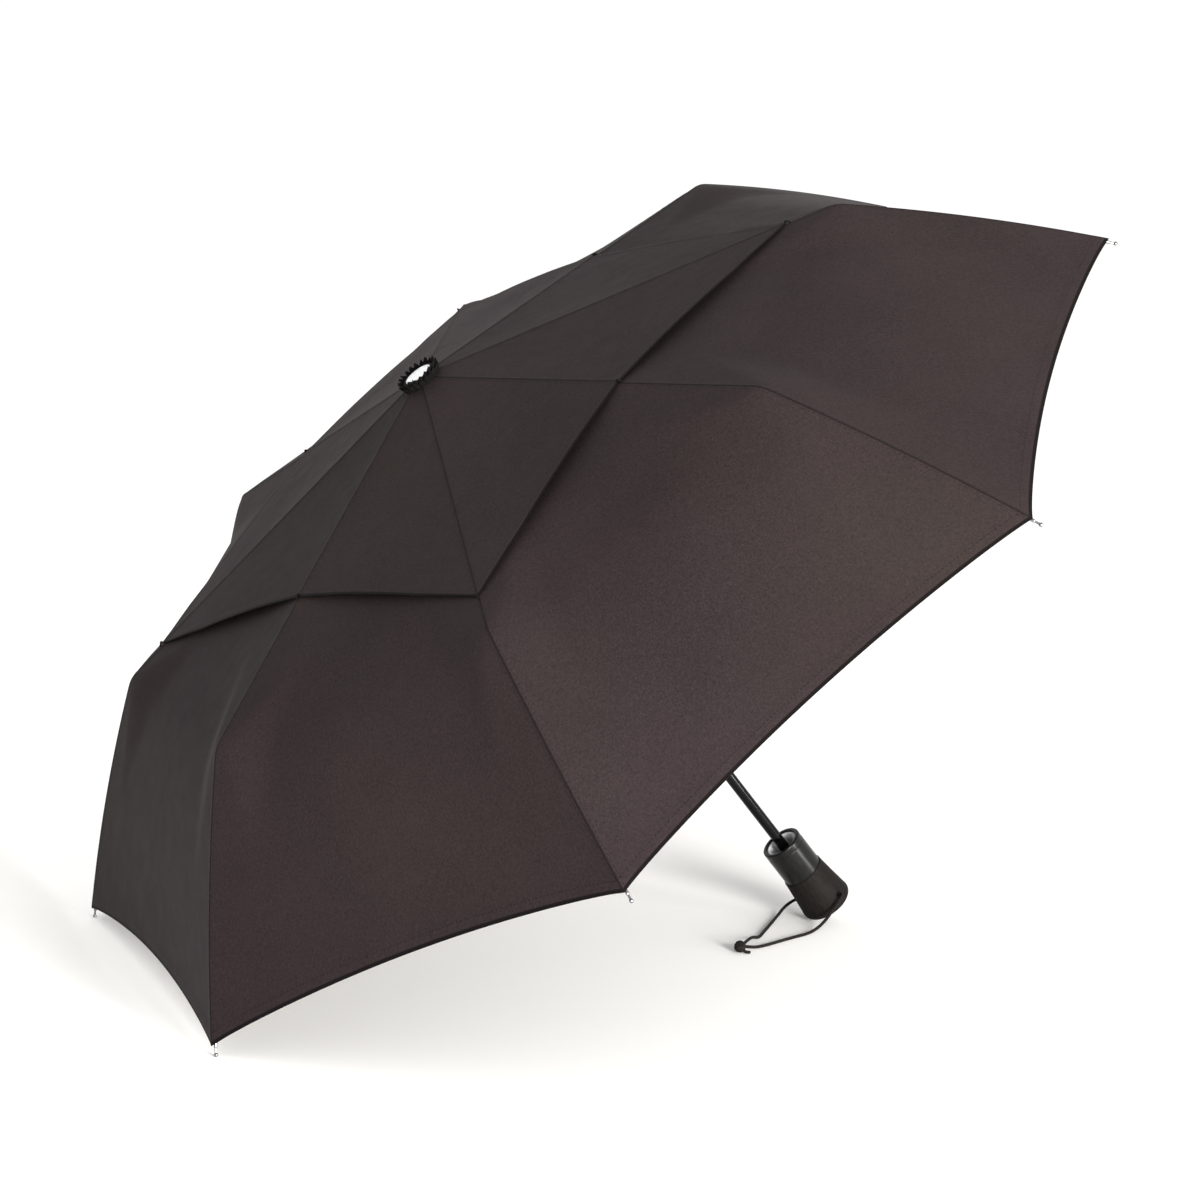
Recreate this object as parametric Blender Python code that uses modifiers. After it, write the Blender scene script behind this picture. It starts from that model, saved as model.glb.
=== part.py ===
"""A three-fold compact umbrella with a vented double canopy, lying open on the ground.

Everything is placed in the umbrella's own axes: +Z runs up the shaft to the cap, and z = 0 is the level of the
rib tips. An empty then leans the whole umbrella until two rib tips and the grip stand on the ground, z = 0 of
the scene. Each hinged piece hangs from an empty whose local Y axis is the hinge axis.
"""

import math

import bmesh
import bpy
from mathutils import Matrix, Vector

# ---- driving dimensions, in metres ----
TIP_RADIUS = 0.480
KNEE_RADIUS = 0.328
KNEE_HEIGHT = 0.1432
CROWN_SLOPE = 0.2091  # drop per metre of radius, from the crown out to the knee
KNEE_SLOPE_DEG = 39.5  # steepness of the outer rib as it leaves the knee
RIBS = 8
FIRST_RIB_DEG = -22.5

CLOTH = 0.0005
VENT_INNER_RADIUS = 0.160
VENT_CORNER_RADIUS = 0.291
VENT_LIFT = 0.0015  # the upper canopy's height over the lower one
VENT_HEM_BOW = 0.006
HEM_BOW = 0.0135
HEM_FULLNESS = 0.8
CANOPY_HOLE = 0.006
GORE_COLUMNS = 4
STRAP_RIB = 7
STRAP_START = 0.375
STRAP_END = 0.476
STRAP_BESIDE = 0.010
STRAP_WIDTH = 0.018
STRAP_LIFT = 0.0011  # the strap's outer face over the canopy

RIB_DROP = 0.0028  # rib centreline under the canopy's outer face
RIB_THICK = 0.0015
RIB_SIDE = 0.0009  # each rib plate lies this far to one side of the rib's plane
RIB_DEPTH = 0.0026
OUTER_RIB_DEPTH = 0.0022
CROWN_PIVOT_RADIUS = 0.011
INNER_RIB_LENGTH = 0.160
KNEE_PIVOT_RADIUS = 0.327
STRUT_REACH = 0.098  # along the inner rib, from its hinge to where the strut meets it
STRUT_LENGTH = 0.104
STRUT_PIVOT_RADIUS = 0.012
BEND_STEPS = 9
TIP_OVERHANG = 0.0055
TIP_BALL = 0.0016
TIP_ROD = 0.0009

HANDLE_RIM = -0.281
HANDLE_END = -0.353
HANDLE_SPLIT = -0.3134
SLEEVE_RADIUS = 0.0168
CUP_RADIUS = 0.0135
CUP_DEPTH = 0.0175
LINER_BORE = 0.0115
SPIGOT_RADIUS = 0.0142
SPIGOT_END = -0.334
GRIP_TOP_RADIUS = 0.0176
GRIP_END_RADIUS = 0.0216
GRIP_ROUNDING = 0.005
GRIP_WALL_GAP = 0.0003
CORD_HOLE_DEG = -64.0
CORD_HOLE_HEIGHT = -0.343
CORD_HOLE_RADIUS = 0.0030
CORD_HOLE_FLOOR = 0.0165  # radii between which the holes are cut
CORD_HOLE_PAST = 0.0270
CORD_RADIUS = 0.00125
CORD_START_RADIUS = 0.0180
CORD_OUT_RADIUS = 0.0212
KNOT_RADIUS = 0.0048

TUBE_WALL = 0.0005
LOWER_TUBE = 0.0044  # outer radii of the three tubes
MIDDLE_TUBE = 0.0036
TOP_TUBE = 0.0028
LOWER_TUBE_TOP = -0.086
LOWER_TUBE_END = -0.3445
SHAFT_TRAVEL = 0.1378  # of each of the two sliding tubes
TUBE_OVERLAP = 0.020
TUBE_STEP = 0.005
CROWN_BASE = 0.2005
CROWN_TOP = 0.2092
CROWN_ROOF = 0.0015
SCREW_HOLE = 0.0014
HUB_RADIUS = 0.0135
RUFFLE_RADIUS = 0.0180
RUFFLE_INNER = 0.0112
RUFFLE_TOP = 0.2176
RUFFLE_SOFTNESS = 0.001
DISC_RADIUS = 0.0108
DISC_FACE = 0.2156
DISC_THICK = 0.0016
DISC_EDGE = 0.0004
DISC_STEM = 0.0024
SLOT_WIDTH = 0.0044
SLOT_CLEARANCE = 0.0018
SLOT_DEPTH = 0.010  # past the hub's edge
SLOT_PAST = 0.002  # how far a slot's cutter runs past the face that it opens
RUNNER_BORE = 0.0049
RUNNER_BODY = 0.0078
RUNNER_ABOVE = 0.0042
RUNNER_FLANGE = 0.0048
RUNNER_BELOW = 0.019
RUNNER_CHAMFER = 0.001
BUTTON_DEG = 90.0
BUTTON_HEIGHT = -0.3060
BUTTON_LONG = 0.010
BUTTON_WIDE = 0.007
BUTTON_POCKET = 0.0098  # radius of the pocket's floor
BUTTON_PROUD = 0.0016
BUTTON_TRAVEL_ROOM = 0.0034  # under the button's foot, for its spring
BUTTON_COIL = 0.0018
BUTTON_WIRE = 0.00025
BUTTON_TURNS = 4
BUTTON_SEAT = 0.0006
DRIVE_COIL = 0.0030
DRIVE_WIRE = 0.00045
DRIVE_TURNS = 14
SPRING_SEAT = 0.002
GAP = 0.0003

GORE_HALF = math.pi / RIBS
INNER_RIB_DROP = math.atan(CROWN_SLOPE)
VENT_TURN = math.radians(90)

# ---- derived places ----


def rib_azimuth(number):
    """Azimuth of rib 1 to 8, counted clockwise seen from above."""
    return math.radians(FIRST_RIB_DEG) - (number - 1) * 2 * GORE_HALF


KNEE_SLOPE = math.radians(KNEE_SLOPE_DEG)
KNEE_CHORD = Vector((TIP_RADIUS - KNEE_RADIUS, -KNEE_HEIGHT))
TIP_SLOPE = 2 * math.atan2(-KNEE_CHORD.y, KNEE_CHORD.x) - KNEE_SLOPE
BEND_RADIUS = KNEE_CHORD.length / (2 * math.sin((TIP_SLOPE - KNEE_SLOPE) / 2))


def canopy_slope(radius):
    """Steepness of the canopy over a rib, in radians below level."""
    if radius <= KNEE_RADIUS:
        return INNER_RIB_DROP
    return math.asin(min(1.0, math.sin(KNEE_SLOPE) + (radius - KNEE_RADIUS) / BEND_RADIUS))


def canopy_height(radius):
    """Height of the lower canopy's outer face over a rib, straight to the knee and then one arc to the tip."""
    if radius <= KNEE_RADIUS:
        return KNEE_HEIGHT + CROWN_SLOPE * (KNEE_RADIUS - radius)
    return KNEE_HEIGHT + BEND_RADIUS * (math.cos(canopy_slope(radius)) - math.cos(KNEE_SLOPE))


def rib_height(radius):
    return canopy_height(radius) - RIB_DROP


def under_cloth(radius):
    """The outer rib's centreline, square in from the canopy's face."""
    slope = canopy_slope(radius)
    return radius - RIB_DROP * math.sin(slope), canopy_height(radius) - RIB_DROP * math.cos(slope)


def on_rib(radius, height, azimuth, side=0.0):
    """A point in the rib's plane, moved sideways along the hinge axis."""
    out = Vector((math.cos(azimuth), math.sin(azimuth), 0))
    across = Vector((-math.sin(azimuth), math.cos(azimuth), 0))
    return out * radius + across * side + Vector((0, 0, height))


CROWN_PIVOT = (CROWN_PIVOT_RADIUS, rib_height(CROWN_PIVOT_RADIUS))
ELBOW_RADIUS = CROWN_PIVOT_RADIUS + INNER_RIB_LENGTH * math.cos(INNER_RIB_DROP)
ELBOW_PIVOT = (ELBOW_RADIUS, rib_height(ELBOW_RADIUS))
KNEE_PIVOT = (KNEE_PIVOT_RADIUS, rib_height(KNEE_PIVOT_RADIUS))
OUTER_RIB_END = under_cloth(TIP_RADIUS)
TIP_END = (
    OUTER_RIB_END[0] + TIP_OVERHANG * math.cos(TIP_SLOPE),
    OUTER_RIB_END[1] - TIP_OVERHANG * math.sin(TIP_SLOPE),
)
STRUT_MEET = (
    CROWN_PIVOT[0] + STRUT_REACH * math.cos(INNER_RIB_DROP),
    CROWN_PIVOT[1] - STRUT_REACH * math.sin(INNER_RIB_DROP),
)
RUNNER_HEIGHT = STRUT_MEET[1] - math.sqrt(STRUT_LENGTH**2 - (STRUT_MEET[0] - STRUT_PIVOT_RADIUS) ** 2)
MIDDLE_TUBE_TOP = LOWER_TUBE_TOP + SHAFT_TRAVEL + TUBE_STEP
MIDDLE_TUBE_END = LOWER_TUBE_TOP - TUBE_OVERLAP
TOP_TUBE_END = MIDDLE_TUBE_TOP - TUBE_OVERLAP

# The umbrella leans until the two lowest tip balls and the rounded edge of the grip reach the ground together.
GRIP_EDGE = (GRIP_END_RADIUS - GRIP_ROUNDING, HANDLE_END + GRIP_ROUNDING)
REACH = TIP_END[0] * math.cos(GORE_HALF) - GRIP_EDGE[0]
STAND = TIP_END[1] - GRIP_EDGE[1]
LEAN = math.atan2(STAND, REACH) + math.asin((GRIP_ROUNDING - TIP_BALL) / math.hypot(REACH, STAND))
LIFT = GRIP_EDGE[0] * math.sin(LEAN) - GRIP_EDGE[1] * math.cos(LEAN) + GRIP_ROUNDING
LYING = Matrix.Translation((0, 0, LIFT)) @ Matrix.Rotation(-LEAN, 4, "Y")


# ---- the scene ----


def new_collection(name):
    collection = bpy.data.collections.new(name)
    bpy.context.scene.collection.children.link(collection)
    return collection


for leftover in list(bpy.data.objects):
    bpy.data.objects.remove(leftover)
UMBRELLA = new_collection("folding_umbrella")
CUTTERS = new_collection("cutters")
CUTTERS.hide_render = True


def material(name, color, roughness, metallic=0.0):
    made = bpy.data.materials.new(name)
    made.use_nodes = True
    shader = made.node_tree.nodes["Principled BSDF"]
    shader.inputs["Base Color"].default_value = (*color, 1)
    shader.inputs["Roughness"].default_value = roughness
    shader.inputs["Metallic"].default_value = metallic
    return made


CANOPY_CLOTH = material("canopy_cloth", (0.045, 0.034, 0.036), 0.7)
RUFFLE_CLOTH = material("ruffle_cloth", (0.008, 0.008, 0.009), 0.9)
GRIP_RUBBER = material("grip_rubber", (0.012, 0.011, 0.010), 0.75)
HANDLE_PLASTIC = material("handle_plastic", (0.016, 0.016, 0.017), 0.35)
LINER_PLASTIC = material("liner_plastic", (0.30, 0.30, 0.31), 0.3)
SHAFT_STEEL = material("shaft_steel", (0.035, 0.036, 0.038), 0.28, 0.9)
RIB_STEEL = material("rib_steel", (0.025, 0.025, 0.027), 0.35, 0.8)
RIB_FIBRE = material("rib_fibre", (0.014, 0.014, 0.015), 0.4)
RUNNER_PLASTIC = material("runner_plastic", (0.015, 0.015, 0.016), 0.45)
TIP_METAL = material("tip_metal", (0.55, 0.55, 0.56), 0.25, 1.0)
CAP_METAL = material("cap_metal", (0.80, 0.81, 0.82), 0.3, 0.6)
SPRING_STEEL = material("spring_steel", (0.45, 0.45, 0.46), 0.3, 1.0)
CORD_BRAID = material("cord_braid", (0.014, 0.013, 0.012), 0.85)


def new_empty(name, place, azimuth=0.0, parent=None):
    """An empty at a point of the umbrella's axes. Its Y axis is the hinge axis of the rib at that azimuth."""
    empty = bpy.data.objects.new(name, None)
    UMBRELLA.objects.link(empty)
    empty.matrix_world = LYING @ Matrix.Translation(place) @ Matrix.Rotation(azimuth, 4, "Z")
    if parent is not None:
        bpy.context.view_layer.update()
        world = empty.matrix_world.copy()
        empty.parent = parent
        empty.matrix_parent_inverse = parent.matrix_world.inverted()
        empty.matrix_world = world
    return empty


def finish(obj, finish_material, parent, frame=None, smooth=True):
    """Puts a shape that is modelled in the umbrella's axes, or in frame, under its parent empty."""
    if obj.name not in UMBRELLA.objects:
        UMBRELLA.objects.link(obj)
    obj.data.materials.clear()
    obj.data.materials.append(finish_material)
    if smooth and obj.type == "MESH":
        obj.data.shade_smooth()
        obj.data.set_sharp_from_angle(angle=math.radians(35))
    obj.matrix_world = frame if frame is not None else LYING
    bpy.context.view_layer.update()
    world = obj.matrix_world.copy()
    obj.parent = parent
    obj.matrix_parent_inverse = parent.matrix_world.inverted()
    obj.matrix_world = world
    return obj


def object_from(bm, name):
    mesh = bpy.data.meshes.new(name)
    bm.to_mesh(mesh)
    bm.free()
    return bpy.data.objects.new(name, mesh)


def turned(name, profile, sides=32):
    """A closed outline of (radius, height) points, turned about the shaft."""
    bm = bmesh.new()
    points = [bm.verts.new((radius, 0, height)) for radius, height in profile]
    for first, second in zip(points, points[1:] + points[:1], strict=True):
        if first.co.x or second.co.x:
            bm.edges.new((first, second))
    obj = object_from(bm, name)
    screw = obj.modifiers.new("turn", "SCREW")
    screw.steps = sides
    screw.render_steps = sides
    screw.use_merge_vertices = True
    screw.merge_threshold = 0.00001
    UMBRELLA.objects.link(obj)
    return obj


def as_mesh(obj, name):
    """The object's evaluated shape as a plain mesh of its own, with caps and doubles welded."""
    bpy.context.view_layer.update()
    evaluated = obj.evaluated_get(bpy.context.evaluated_depsgraph_get())
    mesh = bpy.data.meshes.new_from_object(evaluated)
    place = obj.matrix_world.copy()
    bpy.data.objects.remove(obj)
    bm = bmesh.new()
    bm.from_mesh(mesh)
    bmesh.ops.remove_doubles(bm, verts=bm.verts, dist=0.000005)
    bmesh.ops.recalc_face_normals(bm, faces=bm.faces)
    bm.to_mesh(mesh)
    bm.free()
    made = bpy.data.objects.new(name, mesh)
    made.matrix_world = place
    return made


def cut(obj, cutter):
    """Cuts a helper shape, modelled in the same axes, out of a part."""
    CUTTERS.objects.link(cutter)
    cutter.hide_render = True
    cutter.display_type = "WIRE"
    cutter.matrix_world = LYING
    modifier = obj.modifiers.new("cut_" + cutter.name, "BOOLEAN")
    modifier.operation = "DIFFERENCE"
    modifier.object = cutter


def box_at(name, size, place, azimuth=0.0):
    """A box whose X side points out along the azimuth; place is its centre."""
    bm = bmesh.new()
    bmesh.ops.create_cube(bm, size=1)
    bmesh.ops.scale(bm, vec=size, verts=bm.verts)
    bmesh.ops.transform(
        bm, matrix=Matrix.Translation(place) @ Matrix.Rotation(azimuth, 4, "Z"), verts=bm.verts
    )
    return object_from(bm, name)


def smooth_route(points, spacing):
    """Points at an even spacing on the smooth curve through hand-placed ones."""
    ends = [2 * points[0] - points[1], *points, 2 * points[-1] - points[-2]]
    dense = []
    for before, start, end, after in zip(ends, ends[1:], ends[2:], ends[3:]):
        for step in range(24):
            t = step / 24
            dense.append(
                0.5
                * (
                    2 * start
                    + (end - before) * t
                    + (2 * before - 5 * start + 4 * end - after) * t**2
                    + (3 * start - before - 3 * end + after) * t**3
                )
            )
    dense.append(points[-1])
    length = sum((b - a).length for a, b in zip(dense, dense[1:]))
    count = max(2, round(length / spacing))
    route, walked, target = [dense[0]], 0.0, length / count
    for a, b in zip(dense, dense[1:]):
        stretch = (b - a).length
        while walked + stretch >= target - 1e-9 and len(route) < count:
            route.append(a.lerp(b, (target - walked) / stretch))
            target += length / count
        walked += stretch
    route.append(dense[-1])
    return route


def wire(name, points, radius, resolution=2):
    """A round wire or cord along a list of points, with closed ends."""
    curve = bpy.data.curves.new(name, "CURVE")
    curve.dimensions = "3D"
    curve.bevel_depth = radius
    curve.bevel_resolution = resolution
    curve.use_fill_caps = True
    spline = curve.splines.new("POLY")
    spline.points.add(len(points) - 1)
    for spot, point in zip(spline.points, points, strict=True):
        spot.co = (*point, 1)
    obj = bpy.data.objects.new(name, curve)
    UMBRELLA.objects.link(obj)
    return as_mesh(obj, name)


def plate(name, centreline, depth, side):
    """A flat bar with round ends along a centreline of (radius, height) points, in the rib's own plane."""
    line = [Vector((radius, height)) for radius, height in centreline]
    upper, lower = [], []
    for index, point in enumerate(line):
        along = (line[min(index + 1, len(line) - 1)] - line[max(index - 1, 0)]).normalized()
        normal = Vector((-along.y, along.x))
        upper.append(point + normal * depth / 2)
        lower.append(point - normal * depth / 2)
    outline = upper + round_end(line[-1], line[-1] - line[-2], depth) + lower[::-1]
    outline += round_end(line[0], line[0] - line[1], depth)
    curve = bpy.data.curves.new(name, "CURVE")
    curve.dimensions = "2D"
    curve.fill_mode = "BOTH"
    curve.extrude = RIB_THICK / 2
    spline = curve.splines.new("POLY")
    spline.points.add(len(outline) - 1)
    for spot, point in zip(spline.points, outline, strict=True):
        spot.co = (point.x, point.y, 0, 1)
    spline.use_cyclic_u = True
    obj = bpy.data.objects.new(name, curve)
    UMBRELLA.objects.link(obj)
    made = as_mesh(obj, name)
    # the outline's X and Y become the rib's radius and height, and its thickness goes along the hinge axis
    made.data.transform(Matrix.Translation((0, side, 0)) @ Matrix.Rotation(math.radians(90), 4, "X"))
    return made


def round_end(centre, outward, depth):
    """The points between the two corners of a bar's end, round its centre."""
    heading = math.atan2(outward.y, outward.x)
    turns = [math.radians(angle) for angle in (60, 30, 0, -30, -60)]
    return [
        centre + Vector((math.cos(heading + turn), math.sin(heading + turn))) * depth / 2 for turn in turns
    ]


# ---- the canopy ----


def gore_point(reach, azimuth, lift=0.0):
    """A point of the canopy's outer face. Between two ribs the cloth spans straight across; reach is the radius
    at which the same line of cloth crosses the ribs."""
    from_first = (azimuth - math.radians(FIRST_RIB_DEG)) % (2 * GORE_HALF) - GORE_HALF
    radius = reach * math.cos(GORE_HALF) / math.cos(from_first)
    height = canopy_height(reach) + lift
    return Vector((radius * math.cos(azimuth), radius * math.sin(azimuth), height))


def hem_reach(azimuth):
    """The hem is scooped in between the tips."""
    share = ((azimuth - math.radians(FIRST_RIB_DEG)) % (2 * GORE_HALF)) / (2 * GORE_HALF)
    return TIP_RADIUS - HEM_BOW * (4 * share * (1 - share)) ** HEM_FULLNESS


def vent_hem_reach(azimuth):
    """The upper canopy is four-cornered: a corner on every second rib and a nearly straight hem between."""
    turn = (azimuth - math.radians(FIRST_RIB_DEG)) % VENT_TURN
    share = turn / VENT_TURN
    radius = VENT_CORNER_RADIUS * math.cos(VENT_TURN / 2) / math.cos(turn - VENT_TURN / 2)
    radius -= VENT_HEM_BOW * 4 * share * (1 - share)
    from_middle = turn % (2 * GORE_HALF) - GORE_HALF
    return radius * math.cos(from_middle) / math.cos(GORE_HALF)


def cloth_ring(name, reaches, lift):
    """A ring of cloth round the shaft. Each entry of reaches gives the reach of one ring at an azimuth."""
    columns = RIBS * GORE_COLUMNS
    bm = bmesh.new()
    bmesh.ops.create_grid(bm, x_segments=columns, y_segments=len(reaches) - 1, size=0.5)
    for vert in bm.verts:
        azimuth = math.radians(FIRST_RIB_DEG) + round((vert.co.x + 0.5) * columns) * 2 * math.pi / columns
        ring = reaches[round((vert.co.y + 0.5) * (len(reaches) - 1))]
        vert.co = gore_point(ring(azimuth), azimuth, lift)
    bmesh.ops.remove_doubles(bm, verts=bm.verts, dist=0.00001)
    bmesh.ops.recalc_face_normals(bm, faces=bm.faces)
    return with_thickness(object_from(bm, name))


def with_thickness(obj):
    """Gives cloth its thickness towards the inside of the canopy."""
    if obj.data.polygons[0].normal.z < 0:
        obj.data.flip_normals()
    solidify = obj.modifiers.new("thickness", "SOLIDIFY")
    solidify.thickness = CLOTH
    solidify.offset = -1
    return obj


def ring_between(start, end, share):
    return lambda azimuth: start(azimuth) + (end(azimuth) - start(azimuth)) * share


def build_lower_canopy(parent):
    inner = [ring_between(lambda _: VENT_INNER_RADIUS, lambda _: KNEE_RADIUS, s) for s in (0, 0.5)]
    outer = [ring_between(lambda _: KNEE_RADIUS, hem_reach, s) for s in (0, 0.2, 0.4, 0.6, 0.8, 1)]
    finish(cloth_ring("lower_canopy", inner + outer, 0.0), CANOPY_CLOTH, parent, smooth=False)


def build_vent_canopy(parent):
    rings = [ring_between(lambda _: CANOPY_HOLE, vent_hem_reach, s) for s in (0, 0.35, 0.7, 1)]
    finish(cloth_ring("vent_canopy", rings, VENT_LIFT), CANOPY_CLOTH, parent, smooth=False)


def build_tie_strap(parent):
    """The closing strap, sewn in at the hem beside one rib and lying up the gore."""
    bm = bmesh.new()
    bmesh.ops.create_grid(bm, x_segments=1, y_segments=6, size=0.5)
    for vert in bm.verts:
        reach = STRAP_START + (STRAP_END - STRAP_START) * (vert.co.y + 0.5)
        side = STRAP_BESIDE + STRAP_WIDTH * (vert.co.x + 0.5)
        azimuth = rib_azimuth(STRAP_RIB) + math.atan2(side, reach)
        vert.co = gore_point(reach, azimuth, STRAP_LIFT)
    bmesh.ops.recalc_face_normals(bm, faces=bm.faces)
    finish(with_thickness(object_from(bm, "tie_strap")), CANOPY_CLOTH, parent, smooth=False)


# ---- the frame: crown, runner, ribs and struts ----


def slotted_hub(name, profile, pivot_radius, slot_bottom, slot_top):
    """A turned hub with a slot for each hinged end."""
    hub = turned(name, profile)
    inside = pivot_radius - SLOT_CLEARANCE
    for number in range(1, RIBS + 1):
        azimuth = rib_azimuth(number)
        middle = on_rib(inside + SLOT_DEPTH / 2, (slot_top + slot_bottom) / 2, azimuth)
        size = (SLOT_DEPTH, SLOT_WIDTH, slot_top - slot_bottom)
        cut(hub, box_at(f"{name}_slot_{number}", size, middle, azimuth))
    return hub


def build_crown(parent):
    bore = TOP_TUBE + GAP
    hub = [
        (bore, CROWN_TOP - CROWN_ROOF),
        (SCREW_HOLE, CROWN_TOP - CROWN_ROOF),
        (SCREW_HOLE, CROWN_TOP),
        (HUB_RADIUS, CROWN_TOP),
        (HUB_RADIUS, CROWN_BASE),
        (bore, CROWN_BASE),
    ]
    slots = CROWN_BASE - SLOT_PAST, CROWN_TOP + SLOT_PAST
    finish(slotted_hub("crown_hub", hub, CROWN_PIVOT_RADIUS, *slots), RUNNER_PLASTIC, parent)


def build_cap(parent):
    """A gathered cloth rosette with a plain disc seated in it, screwed to the crown through the canopy."""
    outer, inner, top = RUFFLE_RADIUS, RUFFLE_INNER, RUFFLE_TOP
    edge = outer - RUFFLE_SOFTNESS
    under = VENT_LIFT + GAP
    rosette = [
        (inner, top - 0.8 * RUFFLE_SOFTNESS),
        (inner + 2 * RUFFLE_SOFTNESS, top),
        (edge, top - 1.2 * RUFFLE_SOFTNESS),
        (outer, canopy_height(outer) + under + 3 * RUFFLE_SOFTNESS),
        (edge, canopy_height(edge) + under),
        (inner, canopy_height(inner) + under),
    ]
    finish(turned("cap_ruffle", rosette), RUFFLE_CLOTH, parent)
    disc = [
        (0, DISC_FACE),
        (DISC_RADIUS - DISC_EDGE, DISC_FACE),
        (DISC_RADIUS, DISC_FACE - DISC_EDGE),
        (DISC_RADIUS, DISC_FACE - DISC_THICK),
        (DISC_STEM, DISC_FACE - DISC_THICK),
        (DISC_STEM, CROWN_TOP + GAP),
        (0, CROWN_TOP + GAP),
    ]
    finish(turned("cap_disc", disc), CAP_METAL, parent)


def build_runner(parent):
    top = RUNNER_HEIGHT + RUNNER_ABOVE
    flange = RUNNER_HEIGHT - RUNNER_FLANGE
    bottom = RUNNER_HEIGHT - RUNNER_BELOW
    profile = [
        (RUNNER_BORE, top),
        (HUB_RADIUS - RUNNER_CHAMFER, top),
        (HUB_RADIUS, top - RUNNER_CHAMFER),
        (HUB_RADIUS, flange),
        (RUNNER_BODY, flange - 1.4 * RUNNER_CHAMFER),
        (RUNNER_BODY, bottom + RUNNER_CHAMFER),
        (RUNNER_BODY - RUNNER_CHAMFER, bottom),
        (RUNNER_BORE, bottom),
    ]
    slots = RUNNER_HEIGHT - 2 * SLOT_CLEARANCE, top + SLOT_PAST
    finish(slotted_hub("runner", profile, STRUT_PIVOT_RADIUS, *slots), RUNNER_PLASTIC, parent)


def local(points, pivot):
    return [(radius - pivot[0], height - pivot[1]) for radius, height in points]


def build_rib_chain(number, crown, runner):
    """Rib number 1 to 8: inner, middle and outer rib, each hinged to the one before, and the strut."""
    azimuth = rib_azimuth(number)
    inner_hinge = new_empty(f"rib_inner_{number}_hinge", on_rib(*CROWN_PIVOT, azimuth), azimuth, crown)
    middle_hinge = new_empty(f"rib_middle_{number}_hinge", on_rib(*ELBOW_PIVOT, azimuth), azimuth, inner_hinge)
    outer_hinge = new_empty(f"rib_outer_{number}_hinge", on_rib(*KNEE_PIVOT, azimuth), azimuth, middle_hinge)
    strut_pivot = (STRUT_PIVOT_RADIUS, RUNNER_HEIGHT)
    strut_hinge = new_empty(f"strut_{number}_hinge", on_rib(*strut_pivot, azimuth), azimuth, runner)

    inner = plate(f"rib_inner_{number}", local([CROWN_PIVOT, ELBOW_PIVOT], CROWN_PIVOT), RIB_DEPTH, RIB_SIDE)
    finish(inner, RIB_STEEL, inner_hinge, inner_hinge.matrix_world)
    middle = plate(f"rib_middle_{number}", local([ELBOW_PIVOT, KNEE_PIVOT], ELBOW_PIVOT), RIB_DEPTH, -RIB_SIDE)
    finish(middle, RIB_STEEL, middle_hinge, middle_hinge.matrix_world)
    strut = plate(f"strut_{number}", local([strut_pivot, STRUT_MEET], strut_pivot), RIB_DEPTH, -RIB_SIDE)
    finish(strut, RIB_STEEL, strut_hinge, strut_hinge.matrix_world)

    step = (TIP_RADIUS - KNEE_RADIUS) / BEND_STEPS
    bend = [KNEE_PIVOT] + [under_cloth(KNEE_RADIUS + step * count) for count in range(1, BEND_STEPS + 1)]
    outer = plate(f"rib_outer_{number}", local(bend, KNEE_PIVOT), OUTER_RIB_DEPTH, RIB_SIDE)
    finish(outer, RIB_FIBRE, outer_hinge, outer_hinge.matrix_world)

    end = Vector((TIP_END[0] - KNEE_PIVOT[0], RIB_SIDE, TIP_END[1] - KNEE_PIVOT[1]))
    along = Vector((math.cos(TIP_SLOPE), 0, -math.sin(TIP_SLOPE)))
    start = Vector((bend[-1][0] - KNEE_PIVOT[0], RIB_SIDE, bend[-1][1] - KNEE_PIVOT[1]))
    start += along * (OUTER_RIB_DEPTH / 2 + GAP)
    tip = rib_tip(f"rib_tip_{number}", start, end)
    finish(tip, TIP_METAL, outer_hinge, outer_hinge.matrix_world)


def rib_tip(name, start, end):
    """A short metal pin with a ball at its end, in one turned piece along the rib."""
    length = (end - start).length
    neck = length - math.sqrt(TIP_BALL**2 - TIP_ROD**2)
    profile = [(0, 0), (TIP_ROD, 0), (TIP_ROD, neck)]
    for angle in (20, 0, -25, -50, -75):
        turn = math.radians(angle)
        spot = (TIP_BALL * math.cos(turn), length - TIP_BALL * math.sin(turn))
        if spot[1] > neck:
            profile.append(spot)
    profile.append((0, length + TIP_BALL))
    pin = as_mesh(turned(name, profile, 8), name)
    turn = Vector((0, 0, 1)).rotation_difference(end - start).to_matrix().to_4x4()
    pin.data.transform(Matrix.Translation(start) @ turn)
    return pin


# ---- the shaft ----


def tube(name, radius, bottom, top, sides=24):
    inner = radius - TUBE_WALL
    return turned(name, [(inner, bottom), (inner, top), (radius, top), (radius, bottom)], sides)


def build_shaft(handle, middle, crown):
    finish(tube("lower_tube", LOWER_TUBE, LOWER_TUBE_END, LOWER_TUBE_TOP), SHAFT_STEEL, handle)
    finish(tube("middle_tube", MIDDLE_TUBE, MIDDLE_TUBE_END, MIDDLE_TUBE_TOP), SHAFT_STEEL, middle)
    top = CROWN_TOP - CROWN_ROOF - GAP
    finish(tube("top_tube", TOP_TUBE, TOP_TUBE_END, top), SHAFT_STEEL, crown)


def coil(name, radius, wire_radius, bottom, top, turns, per_turn):
    """A compression spring along the shaft."""
    points = []
    for step in range(turns * per_turn + 1):
        angle = 2 * math.pi * step / per_turn
        height = bottom + (top - bottom) * step / (turns * per_turn)
        points.append(Vector((radius * math.cos(angle), radius * math.sin(angle), height)))
    return wire(name, points, wire_radius, 0)


def build_drive_spring(handle):
    """The long spring in the lower tube that throws the shaft out."""
    bottom, top = LOWER_TUBE_END + SPRING_SEAT, MIDDLE_TUBE_END - SPRING_SEAT / 2
    spring = coil("drive_spring", DRIVE_COIL, DRIVE_WIRE, bottom, top, DRIVE_TURNS, 9)
    finish(spring, SPRING_STEEL, handle)


# ---- the handle ----


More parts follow.
